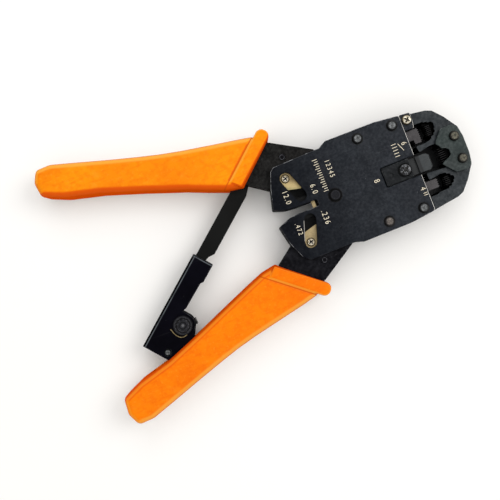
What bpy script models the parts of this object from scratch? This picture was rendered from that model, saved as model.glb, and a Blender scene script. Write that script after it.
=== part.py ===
"""Ratcheting modular-plug crimping tool (8P / 6P / 4P dies), modelled lying flat, fully open.

Frame: metres, +Z up through the plates. The origin is on the axis of the main pivot rivet, in the
plane the tool lies on. +X runs from the pivot towards the die head's tip, +Y towards the upper
handle. "Front" is the +Z side, "back" the -Z side, "rear" the -X end.
All sizes below are millimetres and all angles degrees. Heights are given from the middle of the
thickness, which lies MID above the resting plane.
"""
import itertools
import math

import bmesh
import bpy
from mathutils import Matrix, Vector

MM = 0.001

# ---- driving dimensions ----------------------------------------------------------------------
GRIP_HALF = 10.0                        # grip half thickness
MID = GRIP_HALF                         # height of the middle of the thickness
COVER_IN, COVER_OUT = 6.6, 8.6          # cover plates: inner and outer face, +-Z
OUTER_IN, OUTER_OUT = 4.5, 6.5          # lower handle's cheeks (outer layer)
INNER_IN, INNER_OUT = 2.4, 4.4          # upper handle's cheeks (inner layer)
CORE_HALF = 2.3                         # half thickness of the middle lamination
THROUGH = 30.0                          # +-Z reach of a cut right through
GAP = 0.15                              # assembly clearance between neighbouring pieces
RUN_GAP = 0.08                          # clearance of a hole that turns on its pin

PIVOT_R = 2.95                          # main pivot rivet
RIVET_R = 2.3                           # frame and tip rivets
SPACER_R = 1.5
CORE_RIVET_R = 1.4
LINK_PIN_R = 2.0
BAR_PIN_R = 1.9
HOUSING_PIN_R = 2.5
END_RIVET_R = 1.6
PAWL_PIN_R = 1.5
PLUNGER_PIN_R = 1.75
BLADE_HOLE_R = 1.3                      # holes for the handle blade screws
LATCH_HOLE_R = 1.35
PLUNGER_HOLE_R = 1.75

RIVETS = [(19.3, 20.9), (36.7, 20.8), (19.3, -20.9), (36.7, -20.8)]
TIP_RIVETS = [(62.4, 5.6), (62.4, -5.6)]
PIVOT = (0, 0)
LATCH_SCREW = (44.2, 20.7)
PLUNGER_SCREW = (34.9, -1.0)
SLOT_Y = -0.9                           # centre of the 8P slide slot
CABLE_Y = -0.25                         # centre of the rear cable slot
ARM_UP = (5.0, -9.5)                    # link pin on the upper handle's arm
ARM_LOW = (ARM_UP[0], -ARM_UP[1])
PLUNGER_PIN_UP = (22.0, 4.0)
PLUNGER_PIN_LOW = (PLUNGER_PIN_UP[0], -PLUNGER_PIN_UP[1])
BAR_PIVOT = (-38.3, 25.0)               # ratchet bar's pivot, in the upper handle
HOUSING_PIVOT = (-92.5, -49.0)          # ratchet housing's pivot, in the lower handle
LEAN = math.radians(1.0)                # both handles are turned this much from square to the head
BAR_ANGLE = math.radians(40.0)          # direction of the ratchet bar at rest
PAWL_BAR = (-88.95, 33.75)              # pawl pin, along / across the bar direction
END_RIVET_BAR = (-103.9, 33.9)          # housing end rivet, along / across

ALONG = (math.cos(BAR_ANGLE), math.sin(BAR_ANGLE))
ACROSS = (-math.sin(BAR_ANGLE), math.cos(BAR_ANGLE))


def bar_to_xy(along, across):
    """A point given along and across the ratchet bar, as X, Y."""
    return (along * ALONG[0] + across * ACROSS[0], along * ALONG[1] + across * ACROSS[1])


def xy_to_bar(x, y):
    return (x * ALONG[0] + y * ALONG[1], x * ACROSS[0] + y * ACROSS[1])


PAWL_PIVOT = bar_to_xy(*PAWL_BAR)
END_RIVET = bar_to_xy(*END_RIVET_BAR)

for old in list(bpy.data.objects):
    bpy.data.objects.remove(old)
COLLECTION = bpy.context.scene.collection

# ---- materials: base colour, roughness, metallic ---------------------------------------------
MATERIALS = {
    "black_cover": ((0.018, 0.020, 0.022), 0.45, 0.0),
    "black_frame": ((0.035, 0.042, 0.042), 0.42, 0.0),
    "black_die": ((0.006, 0.006, 0.007), 0.5, 0.0),
    "orange_grip": ((0.95, 0.24, 0.01), 0.42, 0.0),
    "dark_steel": ((0.10, 0.10, 0.11), 0.38, 1.0),
    "punch_steel": ((0.16, 0.145, 0.145), 0.42, 1.0),
    "blade_brass": ((0.62, 0.52, 0.33), 0.35, 1.0),
    "plated_screw": ((0.72, 0.66, 0.52), 0.25, 1.0),
    "spring_steel": ((0.30, 0.27, 0.22), 0.35, 1.0),
    "black_screw": ((0.02, 0.02, 0.022), 0.3, 0.6),
}
for mat_name, (colour, roughness, metallic) in MATERIALS.items():
    mat = bpy.data.materials.new(mat_name)
    mat.use_nodes = True
    shader = mat.node_tree.nodes["Principled BSDF"]
    shader.inputs["Base Color"].default_value = (*colour, 1)
    shader.inputs["Roughness"].default_value = roughness
    shader.inputs["Metallic"].default_value = metallic


# ---- empties: one for each moving body, on its joint's axis ----------------------------------
def axis(name, at, parent=None):
    empty = bpy.data.objects.new("axis_" + name, None)
    COLLECTION.objects.link(empty)
    empty.empty_display_size = 0.01
    empty.parent = parent
    empty.matrix_world = Matrix.Translation((at[0] * MM, at[1] * MM, MID * MM))
    bpy.context.view_layer.update()     # children read this matrix
    return empty


HEAD = axis("head", PIVOT)
UPPER = axis("upper_handle", PIVOT, HEAD)
LOWER = axis("lower_handle", PIVOT, HEAD)
PLUNGER = axis("plunger", (PLUNGER_PIN_UP[0], 0), HEAD)
LINK_UP = axis("link_upper", PLUNGER_PIN_UP, PLUNGER)
LINK_LOW = axis("link_lower", PLUNGER_PIN_LOW, PLUNGER)
HOUSING = axis("ratchet_housing", HOUSING_PIVOT, LOWER)
BAR = axis("ratchet_bar", BAR_PIVOT, HOUSING)
PAWL = axis("ratchet_pawl", PAWL_PIVOT, HOUSING)


# ---- outline helpers -------------------------------------------------------------------------
def ccw(points):
    """The outline in counter-clockwise order."""
    doubled = sum(a[0] * b[1] - b[0] * a[1] for a, b in zip(points, points[1:] + points[:1]))
    return points if doubled > 0 else points[::-1]


def rounded(corners, max_steps=3, shrink=0.0):
    """corners are (x, y) or (x, y, radius): the corner gets an arc of that radius, less shrink."""
    out = []
    for i, corner in enumerate(corners):
        radius = corner[2] if len(corner) > 2 else 0
        if radius <= 0:
            out.append((corner[0], corner[1]))
            continue
        here = Vector(corner[:2])
        before = Vector(corners[i - 1][:2])
        after = Vector(corners[(i + 1) % len(corners)][:2])
        to_before = (before - here).normalized()
        to_after = (after - here).normalized()
        half = math.acos(max(-1, min(1, to_before.dot(to_after)))) / 2
        setback = min(max(radius - shrink, 0.2) / math.tan(half),
                      (before - here).length * 0.49, (after - here).length * 0.49)
        fitted = setback * math.tan(half)
        centre = here + (to_before + to_after).normalized() * (fitted / math.sin(half))
        start = here + to_before * setback - centre
        end = here + to_after * setback - centre
        angle = math.atan2(start.y, start.x)
        sweep = (math.atan2(end.y, end.x) - angle + math.pi) % (2 * math.pi) - math.pi
        if radius < 0.55 or abs(sweep) < 0.35:
            count = 1
        else:
            count = min(max_steps, 2 if radius < 1.6 else 3)
        for k in range(count + 1):
            t = angle + sweep * k / count
            out.append((centre.x + fitted * math.cos(t), centre.y + fitted * math.sin(t)))
    return out


def polar(x, y, radius, degrees):
    return (x + radius * math.cos(math.radians(degrees)),
            y + radius * math.sin(math.radians(degrees)))


def arc(x, y, radius, start, end, steps):
    return [polar(x, y, radius, start + (end - start) * k / steps) for k in range(steps + 1)]


def circle(x, y, radius, sides):
    turns = [2 * math.pi * (k + 0.5) / sides for k in range(sides)]
    return [(x + radius * math.cos(t), y + radius * math.sin(t)) for t in turns]


def oblong(a, b, radius):
    """A slot outline with round ends centred on a and b."""
    t = math.degrees(math.atan2(b[1] - a[1], b[0] - a[0]))
    return arc(*a, radius, t + 90, t + 270, 7) + arc(*b, radius, t - 90, t + 90, 7)


def mirror(points):
    """Points mirrored in Y, in reverse order to keep the outline's sense."""
    return [(p[0], -p[1], *p[2:]) for p in points][::-1]


def lean(points):
    """Points of a handle, turned from square to where it stands at rest."""
    c, s = math.cos(LEAN), math.sin(LEAN)
    return [(p[0] * c - p[1] * s, p[0] * s + p[1] * c, *p[2:]) for p in points]


def offset(points, distance):
    """The closed outline moved inwards by distance, point by point."""
    points = ccw(points)
    out = []
    for i in range(len(points)):
        before, here = Vector(points[i - 1]), Vector(points[i])
        after = Vector(points[(i + 1) % len(points)])
        edge_in, edge_out = (here - before).normalized(), (after - here).normalized()
        mitre = Vector((-edge_in.y, edge_in.x)) + Vector((-edge_out.y, edge_out.x))
        mitre = mitre / max(mitre.length_squared / 2, 0.5)
        out.append((here.x + mitre.x * distance, here.y + mitre.y * distance))
    return out


# ---- body helpers ----------------------------------------------------------------------------
def loft(bm, layers):
    """A closed body through (outline, height) layers, bottom to top."""
    rings = [[bm.verts.new((x * MM, y * MM, z * MM)) for x, y in outline]
             for outline, z in layers]
    bm.faces.new(rings[0][::-1])
    bm.faces.new(rings[-1])
    for a, b in zip(rings, rings[1:]):
        for i in range(len(a)):
            j = (i + 1) % len(a)
            bm.faces.new((a[i], a[j], b[j], b[i]))


def edge_layers(bottom, top, edge):
    """(height, inset) pairs; edge lists (depth, inset) from the face inwards."""
    return ([(bottom + depth, inset) for depth, inset in edge]
            + [(top - depth, inset) for depth, inset in reversed(edge)])


def add_slab(bm, outline, bottom, top, edge=((0, 0),)):
    outline = ccw(outline)
    loft(bm, [(offset(outline, inset) if inset else outline, z)
              for z, inset in edge_layers(bottom, top, edge)])


def add_soft_slab(bm, corners, bottom, top, edge):
    """Like add_slab, but inset corner by corner, so the arcs tighten and never cross."""
    corners = ccw(corners)
    layers = []
    for z, inset in edge_layers(bottom, top, edge):
        moved = [p[:2] for p in corners]
        if inset:
            moved = offset(moved, inset)
        ring = [(*m, *p[2:]) for m, p in zip(moved, corners)]
        layers.append((rounded(ring, shrink=inset), z))
    loft(bm, layers)


def mesh_object(name, bm, mat=None, parent=None, smooth_angle=None):
    mesh = bpy.data.meshes.new(name)
    bm.normal_update()
    bm.to_mesh(mesh)
    bm.free()
    ob = bpy.data.objects.new(name, mesh)
    COLLECTION.objects.link(ob)
    if mat:
        mesh.materials.append(bpy.data.materials[mat])
    if parent is not None:
        # the object's origin sits on its body's axis
        at = parent.matrix_world.translation
        mesh.transform(Matrix.Translation((-at.x, -at.y, 0)))
        ob.parent = parent
    else:
        ob.location = (0, 0, MID * MM)
    if smooth_angle:
        mesh.shade_smooth()
        mesh.set_sharp_from_angle(angle=math.radians(smooth_angle))
    return ob


def boolean(ob, modifier_name, operation, helper_name, bm):
    helper = mesh_object(helper_name, bm)
    helper.hide_render = True
    helper.display_type = "WIRE"
    modifier = ob.modifiers.new(modifier_name, "BOOLEAN")
    modifier.operation = operation
    modifier.solver = "EXACT"
    modifier.object = helper


CUT_NUMBERS = itertools.count(1)


def cut(ob, shapes):
    """One Boolean with a helper made of separate prisms: shapes are (outline, bottom, top)."""
    number = next(CUT_NUMBERS)
    bm = bmesh.new()
    for shape in shapes:
        add_slab(bm, *shape)
    boolean(ob, "cut_%02d" % number, "DIFFERENCE", "cutter_%02d" % number, bm)


def plate(name, outline, bottom, top, mat, parent, cuts=(), edge=0.0, pocket=None):
    """A flat piece; edge is its chamfer, and pocket is cut before the others."""
    bm = bmesh.new()
    add_slab(bm, outline, bottom, top, ((0, edge), (edge, 0)) if edge else ((0, 0),))
    ob = mesh_object(name, bm, mat, parent, 30)
    if pocket:
        cut(ob, [pocket])
    if cuts:
        cut(ob, cuts)


def turned(name, at, profile, mat, parent, sides=24, cuts=()):
    """A round piece on a Z axis: profile is (radius, z) from the bottom up."""
    bm = bmesh.new()
    loft(bm, [(circle(*at, radius, sides), z) for radius, z in profile])
    ob = mesh_object(name, bm, mat, parent, 30)
    if cuts:
        cut(ob, cuts)


def rivet(name, at, radius, bottom, top, parent, sides=24, mat="dark_steel"):
    """A plain shank with lightly crowned ends."""
    crown = 0.35
    turned(name, at, [(radius - crown, bottom), (radius, bottom + crown),
                      (radius, top - crown), (radius - crown, top)], mat, parent, sides)


def wire(name, path, radius, parent):
    """A round spring wire along a list of 3-D points, with flat ends."""
    sides = 6
    bm = bmesh.new()
    points = [Vector(p) for p in path]
    rings = []
    up = Vector((0, 0, 1))
    for i, point in enumerate(points):
        tangent = (points[min(i + 1, len(points) - 1)] - points[max(i - 1, 0)]).normalized()
        side = tangent.cross(up).normalized()
        up = side.cross(tangent).normalized()
        turns = [2 * math.pi * k / sides for k in range(sides)]
        rings.append([bm.verts.new((point + (side * math.cos(t) + up * math.sin(t)) * radius) * MM)
                      for t in turns])
    bm.faces.new(rings[0])
    bm.faces.new(rings[-1][::-1])
    for a, b in zip(rings, rings[1:]):
        for k in range(sides):
            j = (k + 1) % sides
            bm.faces.new((a[k], b[k], b[j], a[j]))
    bmesh.ops.recalc_face_normals(bm, faces=bm.faces)
    mesh_object(name, bm, "spring_steel", parent, 40)


def holes(radius, centres, bottom=-THROUGH, top=THROUGH):
    sides = 16 if radius < 1.6 else 20
    return [(circle(x, y, radius, sides), bottom, top) for x, y in centres]


def cross_recess(at, size, width, bottom, top, turn=45):
    """A Phillips recess as one cross-shaped prism."""
    w, s = width / 2, size / 2
    cross = [(w, w), (s, w), (s, -w), (w, -w), (w, -s), (-w, -s),
             (-w, -w), (-s, -w), (-s, w), (-w, w), (-w, s), (w, s)]
    c, n = math.cos(math.radians(turn)), math.sin(math.radians(turn))
    return ([(at[0] + x * c - y * n, at[1] + x * n + y * c) for x, y in cross], bottom, top)


# ---- head outlines: x, y and, where the corner is rounded, its radius ------------------------
COVER_UP = [
    (41.5, 24.0, 0.9), (29.0, 25.4, 6), (4.6, 25.5, 1.0), (0.8, 23.4, 1.0), (-22.6, 22.8, 0.9),
    (-24.6, 21.2, 0.8), (-27.4, 13.6, 8), (-29.9, 3.9, 0.6)]
COVER_LOW = [
    (-29.9, -4.7, 0.6), (-28.0, -14.2, 8), (-24.8, -21.6, 0.9), (-21.6, -24.3, 1.0),
    (1.2, -24.1, 1.0), (4.7, -25.5, 1.0), (29.0, -25.3, 6), (41.5, -23.8, 0.9)]
CABLE_SLOT = [
    (-24.3, CABLE_Y + 2.15, 3), (-20.0, CABLE_Y + 1.6, 3), (-8.7, CABLE_Y + 1.6, 0.8),
    (-8.7, CABLE_Y - 1.6, 0.8), (-20.0, CABLE_Y - 1.6, 3), (-24.3, CABLE_Y - 2.15, 3)]
SLIDE_SLOT = [
    (41.5, SLOT_Y - 4.9), (24.0, SLOT_Y - 4.9, 0.8),
    (24.0, SLOT_Y + 4.9, 0.8), (41.5, SLOT_Y + 4.9)]
TIP_HALF = [
    (66.4, 4.2, 3), (66.0, 9.5, 1), (64.2, 12.1, 1), (61.6, 16.0, 2), (57.4, 20.7, 1.6),
    (54.4, 21.9, 1.5), (41.5, 23.8), (29.0, 25.1, 6), (4.8, 25.1, 1.0)]
# the die frame's cavity: three plug windows and the two fingers between them
DIE_INNER = [
    (2.4, 17.4), (42.6, 17.4, 0.5), (51.4, 17.4), (51.5, 16.9), (53.3, 16.8), (53.4, 16.2),
    (55.2, 16.0, 0.4), (56.0, 15.1, 0.4), (55.8, 12.7), (55.3, 12.6), (55.4, 10.9, 0.4),
    (54.4, 10.5), (54.3, 9.7), (52.9, 9.4), (52.6, 8.5, 0.4), (51.2, 7.9, 0.6), (48.5, 7.4, 3),
    (44.3, 7.4, 0.4), (44.9, 4.4, 0.4), (50.5, 5.6, 2), (54.5, 5.4, 0.8), (58.0, 3.2, 0.8),
    (58.0, -4.8, 0.8), (54.5, -6.9, 0.8), (48.4, -6.5, 3), (44.3, -6.2, 0.4), (44.5, -9.6, 0.4),
    (50.3, -8.7, 2), (52.8, -9.0, 0.5), (53.1, -9.7), (54.6, -10.1, 0.4), (54.8, -11.2),
    (55.9, -11.5, 0.4), (56.0, -13.3, 0.4), (55.2, -13.6), (55.1, -14.6, 0.4), (53.9, -14.8),
    (53.7, -15.7), (52.3, -15.9), (52.0, -16.5, 0.3), (47.0, -16.8, 0.5), (45.6, -17.4, 0.8),
    (2.4, -17.4)]
BRIDGE = [
    (53.3, 6.2, 0.5), (57.4, 11.0, 1.2), (62.9, 11.2, 1.0), (65.5, 9.4, 1.0), (66.4, 4.2, 3),
    (66.4, -4.2, 3), (65.5, -9.4, 1.0), (62.9, -11.3, 1.0), (57.4, -10.6, 1.2),
    (53.9, -6.6, 0.5), (52.5, -4.8, 0.3), (54.2, -3.8, 0.3), (56.6, -2.9, 0.3),
    (58.0, -1.9, 0.5), (57.9, 0.5, 0.5), (56.4, 1.9, 0.3), (54.9, 2.1, 0.3), (54.0, 3.8, 0.4),
    (52.9, 5.1, 0.4)]
# die nests: stepped anvils at the tip end of each plug window
NEST_6P = [
    (51.2, 16.6), (53.0, 16.5), (53.1, 15.9), (54.9, 15.7, 0.3), (55.6, 14.9, 0.3),
    (55.4, 12.9), (54.9, 12.8), (55.0, 11.2, 0.3), (54.1, 10.8), (54.0, 10.0), (52.6, 9.7),
    (52.4, 10.6), (53.2, 11.4), (53.2, 14.6), (52.4, 15.4), (51.3, 15.6)]
NEST_8P = [
    (54.4, 4.9, 0.4), (57.7, 3.0, 0.6), (57.7, -4.6, 0.6), (54.4, -6.5, 0.4), (54.5, -5.0),
    (55.3, -4.9), (55.4, -4.2), (56.3, -4.1), (56.4, 2.5), (55.4, 2.6), (55.3, 3.3), (54.5, 3.4)]
NEST_4P = [
    (52.9, -10.0), (54.3, -10.4, 0.3), (54.5, -11.5), (55.6, -11.8, 0.3), (55.7, -13.0, 0.3),
    (54.9, -13.3), (54.8, -14.3, 0.3), (53.6, -14.5), (53.4, -15.4), (52.0, -15.6),
    (51.9, -14.9), (52.7, -14.3), (53.3, -13.0), (53.3, -11.9), (52.7, -11.2)]
LATCH_GUIDE = [
    (41.8, 16.0, 0.4), (46.3, 16.0, 0.4), (46.8, 20.0), (46.9, 23.6, 0.4), (41.8, 24.1, 0.3)]
# oblong windows over the handle blades: the centres of their round ends
WINDOWS = [((-18.9, 15.8), (-15.2, 5.8)), ((-18.6, -16.5), (-15.2, -6.4))]
WINDOW_R = 2.9
DIMPLE = (-3.6, -15.4)                  # shallow round mark in the front cover

# ---- head: covers, die frame, dies -----------------------------------------------------------
pivot_hole = holes(PIVOT_R + GAP, [PIVOT])
tip_holes = holes(RIVET_R + GAP, TIP_RIVETS)
frame_holes = holes(RIVET_R + GAP, RIVETS + TIP_RIVETS)

plate("front_cover", rounded(COVER_UP + CABLE_SLOT + COVER_LOW + SLIDE_SLOT),
      COVER_IN, COVER_OUT, "black_cover", HEAD,
      [(oblong(*ends, WINDOW_R), -THROUGH, THROUGH) for ends in WINDOWS]
      + holes(RIVET_R + GAP, RIVETS) + pivot_hole + holes(0.8, [DIMPLE], 8.2), edge=0.25)
back_outline = rounded(TIP_HALF[:-1] + COVER_UP[2:] + CABLE_SLOT + COVER_LOW[:-2]
                       + mirror(TIP_HALF[:-1]))
plate("back_cover", back_outline, -COVER_OUT, -COVER_IN, "black_cover", HEAD,
      frame_holes + pivot_hole, edge=0.25)

die_outline = rounded(TIP_HALF + [(2.4, 24.2, 0.8)] + DIE_INNER + [(2.4, -24.2, 0.8)]
                      + mirror(TIP_HALF))
plate("die_frame_front", die_outline, INNER_IN, OUTER_OUT, "black_frame", HEAD,
      frame_holes + holes(LATCH_HOLE_R, [LATCH_SCREW]))
plate("die_frame_core", die_outline, -CORE_HALF, CORE_HALF, "black_frame", HEAD, frame_holes)
plate("die_frame_back", die_outline, -OUTER_OUT, -INNER_IN, "black_frame", HEAD, frame_holes)
plate("die_bridge", rounded(BRIDGE, 2), COVER_IN, COVER_OUT - 0.2, "black_frame", HEAD,
      tip_holes, edge=0.2)
for size, nest, top in (("6p", NEST_6P, 3.4), ("8p", NEST_8P, 5.4), ("4p", NEST_4P, 3.4)):
    plate("die_nest_" + size, rounded(nest, 2), -6.4, top, "black_die", HEAD)

for prefix, centres in (("frame", RIVETS), ("tip", TIP_RIVETS)):
    for i, centre in enumerate(centres, 1):
        rivet("%s_rivet_%d" % (prefix, i), centre, RIVET_R, -9.7, 9.8, HEAD)
turned("main_pivot_rivet", PIVOT,
       [(PIVOT_R - 0.5, -10.0), (PIVOT_R, -9.5), (PIVOT_R, 9.5), (PIVOT_R - 0.6, 10.0)],
       "dark_steel", HEAD, 28)

# latch guide plate, level with the front cover and just past its +X edge, and its screw
plate("latch_guide_plate", rounded(LATCH_GUIDE, 2), COVER_IN, 8.2, "black_cover", HEAD,
      holes(LATCH_HOLE_R, [LATCH_SCREW]), edge=0.2)
turned("latch_guide_screw", LATCH_SCREW,
       [(1.2, 2.6), (1.2, 8.3), (2.35, 8.35), (2.35, 8.9), (1.9, 9.5), (0.9, 9.75)],
       "plated_screw", HEAD, cuts=[cross_recess(LATCH_SCREW, 2.9, 0.75, 8.95, 12)])

# strip anvils: blocks between the covers' rear lobes; a short blade spans the cable slot
BLADE_BACK, BLADE_FRONT = 5.2, 5.9      # height of all three strip blades
ANVIL_UP = [
    (-29.0, 4.9), (-24.2, CABLE_Y + 2.5), (-20.0, CABLE_Y + 1.95), (-9.6, CABLE_Y + 1.95),
    (-9.6, 4.0), (-12.6, 4.0), (-13.2, 4.9), (-28.7, 5.8)]
ANVIL_LOW = [
    (-29.0, -5.7), (-24.2, CABLE_Y - 2.5), (-20.0, CABLE_Y - 1.95), (-9.6, CABLE_Y - 1.95),
    (-9.6, -4.6), (-12.6, -4.6), (-13.2, -5.2), (-28.9, -6.5)]
blade_recess = [([(-11.8, -5.3), (-9.7, -5.3), (-9.7, 4.9), (-11.8, 4.9)], 5.05, 9)]
for side, anvil in (("upper", ANVIL_UP), ("lower", ANVIL_LOW)):
    plate("strip_anvil_" + side, anvil, -OUTER_OUT, OUTER_OUT, "black_frame", HEAD, blade_recess)
plate("strip_blade_6mm", [(-11.6, -4.2), (-9.9, -4.2), (-9.9, 3.6), (-11.6, 3.6)],
      BLADE_BACK, BLADE_FRONT, "blade_brass", HEAD)

# ---- handle return spring: a torsion coil round the main pivot, a leg towards each handle ----
COIL_R = 4.6
COIL_HALF = 1.6                         # the coil climbs from -COIL_HALF to +COIL_HALF
COIL_TURNS = 3
LOW_LEG_DIR, UP_LEG_DIR = 115.5, 117.6  # leg directions, clockwise / counter-clockwise from +X
LEG = 33.0


def return_spring_path():
    """Lower leg, coil wound clockwise seen from the front, upper leg."""
    start = 360 - (LOW_LEG_DIR + 90)
    sweep = start - (UP_LEG_DIR + 90) + 360 * COIL_TURNS
    steps = int(sweep / 18)
    low_foot = polar(*PIVOT, COIL_R, start)
    up_foot = polar(*PIVOT, COIL_R, start - sweep)
    stations = (3.0, LEG * 0.5, LEG)
    path = [(*polar(*low_foot, s, -LOW_LEG_DIR), -COIL_HALF) for s in reversed(stations)]
    path += [(*polar(*PIVOT, COIL_R, start - sweep * k / steps),
              -COIL_HALF + 2 * COIL_HALF * k / steps) for k in range(steps + 1)]
    path += [(*polar(*up_foot, s, UP_LEG_DIR), COIL_HALF) for s in stations]
    return path


wire("handle_return_spring", return_spring_path(), 0.5, HEAD)

# ---- handle cheek outlines, drawn for the upper handle ---------------------------------------
BOSS_R, ARM_R = 8.0, 4.0                # round the main pivot, and round the link pin
CHEEK_REAR = [                          # x, y, corner radius; square to the head
    (-0.2, 23.9, 0.8), (-19.9, 35.7, 4), (-26.0, 37.0, 2), (-46.0, 41.0), (-71.0, 46.6),
    (-100.0, 55.2), (-115.0, 59.4, 3), (-117.0, 52.6, 3), (-102.0, 46.2), (-82.0, 39.6),
    (-55.0, 29.6), (-46.0, 26.4), (-40.0, 23.4, 2), (-36.8, 20.8, 2), (-27.6, 14.1, 4),
    (-22.5, 12.3, 3), (-12.2, 11.2, 2)]
arm_dir = math.degrees(math.atan2(ARM_UP[1], ARM_UP[0]))
tangent_dir = math.degrees(math.acos((BOSS_R - ARM_R) / math.hypot(*ARM_UP)))
arm_end = (arc(*PIVOT, BOSS_R, 128, 360 + arm_dir - tangent_dir, 6)
           + arc(*ARM_UP, ARM_R, 360 + arm_dir - tangent_dir, 360 + arm_dir + tangent_dir, 8)
           + arc(*PIVOT, BOSS_R, arm_dir + tangent_dir, 80, 5))
CHEEK_UP = rounded(lean(CHEEK_REAR)) + arm_end
CHEEK_LOW = mirror(arm_end) + rounded(lean(mirror(CHEEK_REAR)))

# ---- grips: x, y, corner radius, square to the head; the lower one is mirrored before use ----
GRIP_UP = [
    (-26.0, 40.6, 2), (-33.0, 42.1), (-45.0, 44.4), (-60.0, 47.4), (-70.0, 49.8),
    (-79.0, 52.3), (-92.0, 56.2), (-108.0, 61.3), (-119.5, 64.9, 8), (-126.8, 64.9, 3),
    (-129.7, 59.3, 4), (-128.9, 52.0, 3), (-119.0, 47.5, 10), (-102.3, 42.9), (-83.4, 36.2),
    (-74.0, 32.6), (-64.6, 29.1), (-55.3, 25.0), (-46.0, 21.2), (-38.6, 19.8), (-21.0, 35.0)]
GRIP_LOW = [
    (-26.0, 40.6, 2), (-33.0, 42.3), (-45.0, 44.6), (-60.0, 47.5), (-70.0, 49.8),
    (-79.0, 52.4), (-92.0, 56.4), (-108.0, 61.5), (-119.5, 65.1, 8), (-127.2, 65.3, 3),
    (-130.0, 59.0, 4), (-129.2, 50.9, 3), (-119.0, 46.6, 10), (-102.3, 42.4), (-83.4, 35.4),
    (-74.0, 31.7), (-64.6, 28.0), (-55.3, 24.4), (-46.0, 21.0), (-38.6, 19.8), (-21.0, 35.0)]
COLLAR = [(-39.4, 19.9, 0.8), (-17.1, 38.4, 3.0), (-21.3, 43.4, 3.0), (-44.0, 24.2, 0.8)]
BAR_SLOT = [
    (-30.0, 14.0), (-30.0, 29.5), (-36.0, 31.5, 2), (-44.0, 31.5, 3), (-66.0, 36.0, 3),
    (-70.0, 26.0)]
HOUSING_SLOT = [
    (-78.0, -28.0), (-78.0, -40.0, 3), (-84.0, -49.5, 4), (-93.0, -53.0, 4),
    (-104.0, -52.0, 4), (-112.0, -47.0, 3), (-113.0, -36.0)]
GRIP_EDGE = [(0, 3.2), (0.5, 1.5), (1.5, 0.5), (3.0, 0)]    # depth, inset
COLLAR_EDGE = [(0, 1.2), (0.5, 0.35), (1.4, 0)]


def grip(name, corners, collar, parent, cheek, cheek_out, slot):
    """A soft handle cover with a raised collar, hollowed for the cheeks and slotted."""
    bm = bmesh.new()
    add_soft_slab(bm, lean(corners), -GRIP_HALF, GRIP_HALF, GRIP_EDGE)
    ob = mesh_object(name, bm, "orange_grip", parent, 40)
    bm = bmesh.new()
    add_soft_slab(bm, lean(collar), -GRIP_HALF + 0.1, GRIP_HALF + 0.5, COLLAR_EDGE)
    boolean(ob, "collar", "UNION", "collar_" + name, bm)
    cavity_half = cheek_out + 0.2
    cut(ob, [(offset(cheek, -(GAP + 0.1)), -cavity_half, cavity_half)])
    cut(ob, [slot])


# the bar swings out of the upper grip's inner edge; the housing turns in the lower grip's
grip("upper_grip", GRIP_UP, COLLAR, UPPER, CHEEK_UP, INNER_OUT,
     (rounded(BAR_SLOT), -2.1, 2.1))
grip("lower_grip", mirror(GRIP_LOW), mirror(COLLAR), LOWER, CHEEK_LOW, OUTER_OUT,
     (rounded(lean(HOUSING_SLOT)), -4.3, 4.3))

# ---- handle cheeks and their fittings --------------------------------------------------------
FITTINGS = [(-16.1, 26.5), (-72.0, 39.5), (-18.8, 16.2)]    # spacer, core rivet, blade screw
SPACER_UP, CORE_UP, SCREW_UP = lean(FITTINGS)
SPACER_LOW, CORE_LOW, SCREW_LOW = lean(mirror(FITTINGS)[::-1])
HANDLE_BLADE = [
    (-21.4, 17.8), (-20.1, 18.9), (-17.6, 18.9), (-16.1, 17.6), (-13.2, 10.4), (-13.3, 9.2),
    (-19.6, 10.75), (-21.4, 12.6)]
BLADE_UP, BLADE_LOW = lean(HANDLE_BLADE), lean(mirror(HANDLE_BLADE))


def cheek_holes(spacer, core, link_pins):
    return (holes(PIVOT_R + 0.05, [PIVOT]) + holes(SPACER_R + GAP, [spacer])
            + holes(CORE_RIVET_R + GAP, [core]) + holes(LINK_PIN_R + GAP, link_pins))


up_holes = cheek_holes(SPACER_UP, CORE_UP, [ARM_UP, BAR_PIVOT])
plate("upper_cheek_front", CHEEK_UP, INNER_IN, INNER_OUT, "black_cover", UPPER,
      up_holes + holes(BLADE_HOLE_R, [SCREW_UP]))
plate("upper_cheek_back", CHEEK_UP, -INNER_OUT, -INNER_IN, "black_cover", UPPER, up_holes)
low_holes = (cheek_holes(SPACER_LOW, CORE_LOW, [ARM_LOW])
             + holes(HOUSING_PIN_R + GAP, [HOUSING_PIVOT]))
plate("lower_cheek_front", CHEEK_LOW, OUTER_IN, OUTER_OUT, "black_cover", LOWER,
      low_holes + holes(BLADE_HOLE_R, [SCREW_LOW]), pocket=(offset(BLADE_LOW, -0.35), 5.1, 9))
plate("lower_cheek_back", CHEEK_LOW, -OUTER_OUT, -OUTER_IN, "black_cover", LOWER, low_holes)

# name, centre, radius, half length, parent, sides, material
for name, at, radius, half, parent, sides, mat in (
        ("upper_spacer_rivet", SPACER_UP, SPACER_R, 4.6, UPPER, 20, "black_screw"),
        ("upper_core_rivet", CORE_UP, CORE_RIVET_R, INNER_OUT, UPPER, 16, "dark_steel"),
        ("upper_link_pin", ARM_UP, LINK_PIN_R, INNER_OUT, UPPER, 20, "dark_steel"),
        ("ratchet_bar_pin", BAR_PIVOT, BAR_PIN_R, INNER_OUT, UPPER, 20, "dark_steel"),
        ("lower_spacer_rivet", SPACER_LOW, SPACER_R, OUTER_OUT, LOWER, 20, "black_screw"),
        ("lower_core_rivet", CORE_LOW, CORE_RIVET_R, OUTER_OUT, LOWER, 16, "dark_steel"),
        ("lower_link_pin", ARM_LOW, LINK_PIN_R, 6.4, LOWER, 20, "dark_steel"),
        ("ratchet_pivot_pin", HOUSING_PIVOT, HOUSING_PIN_R, OUTER_OUT, LOWER, 20, "dark_steel")):
    rivet(name, at, radius, -half, half, parent, sides, mat)

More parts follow.
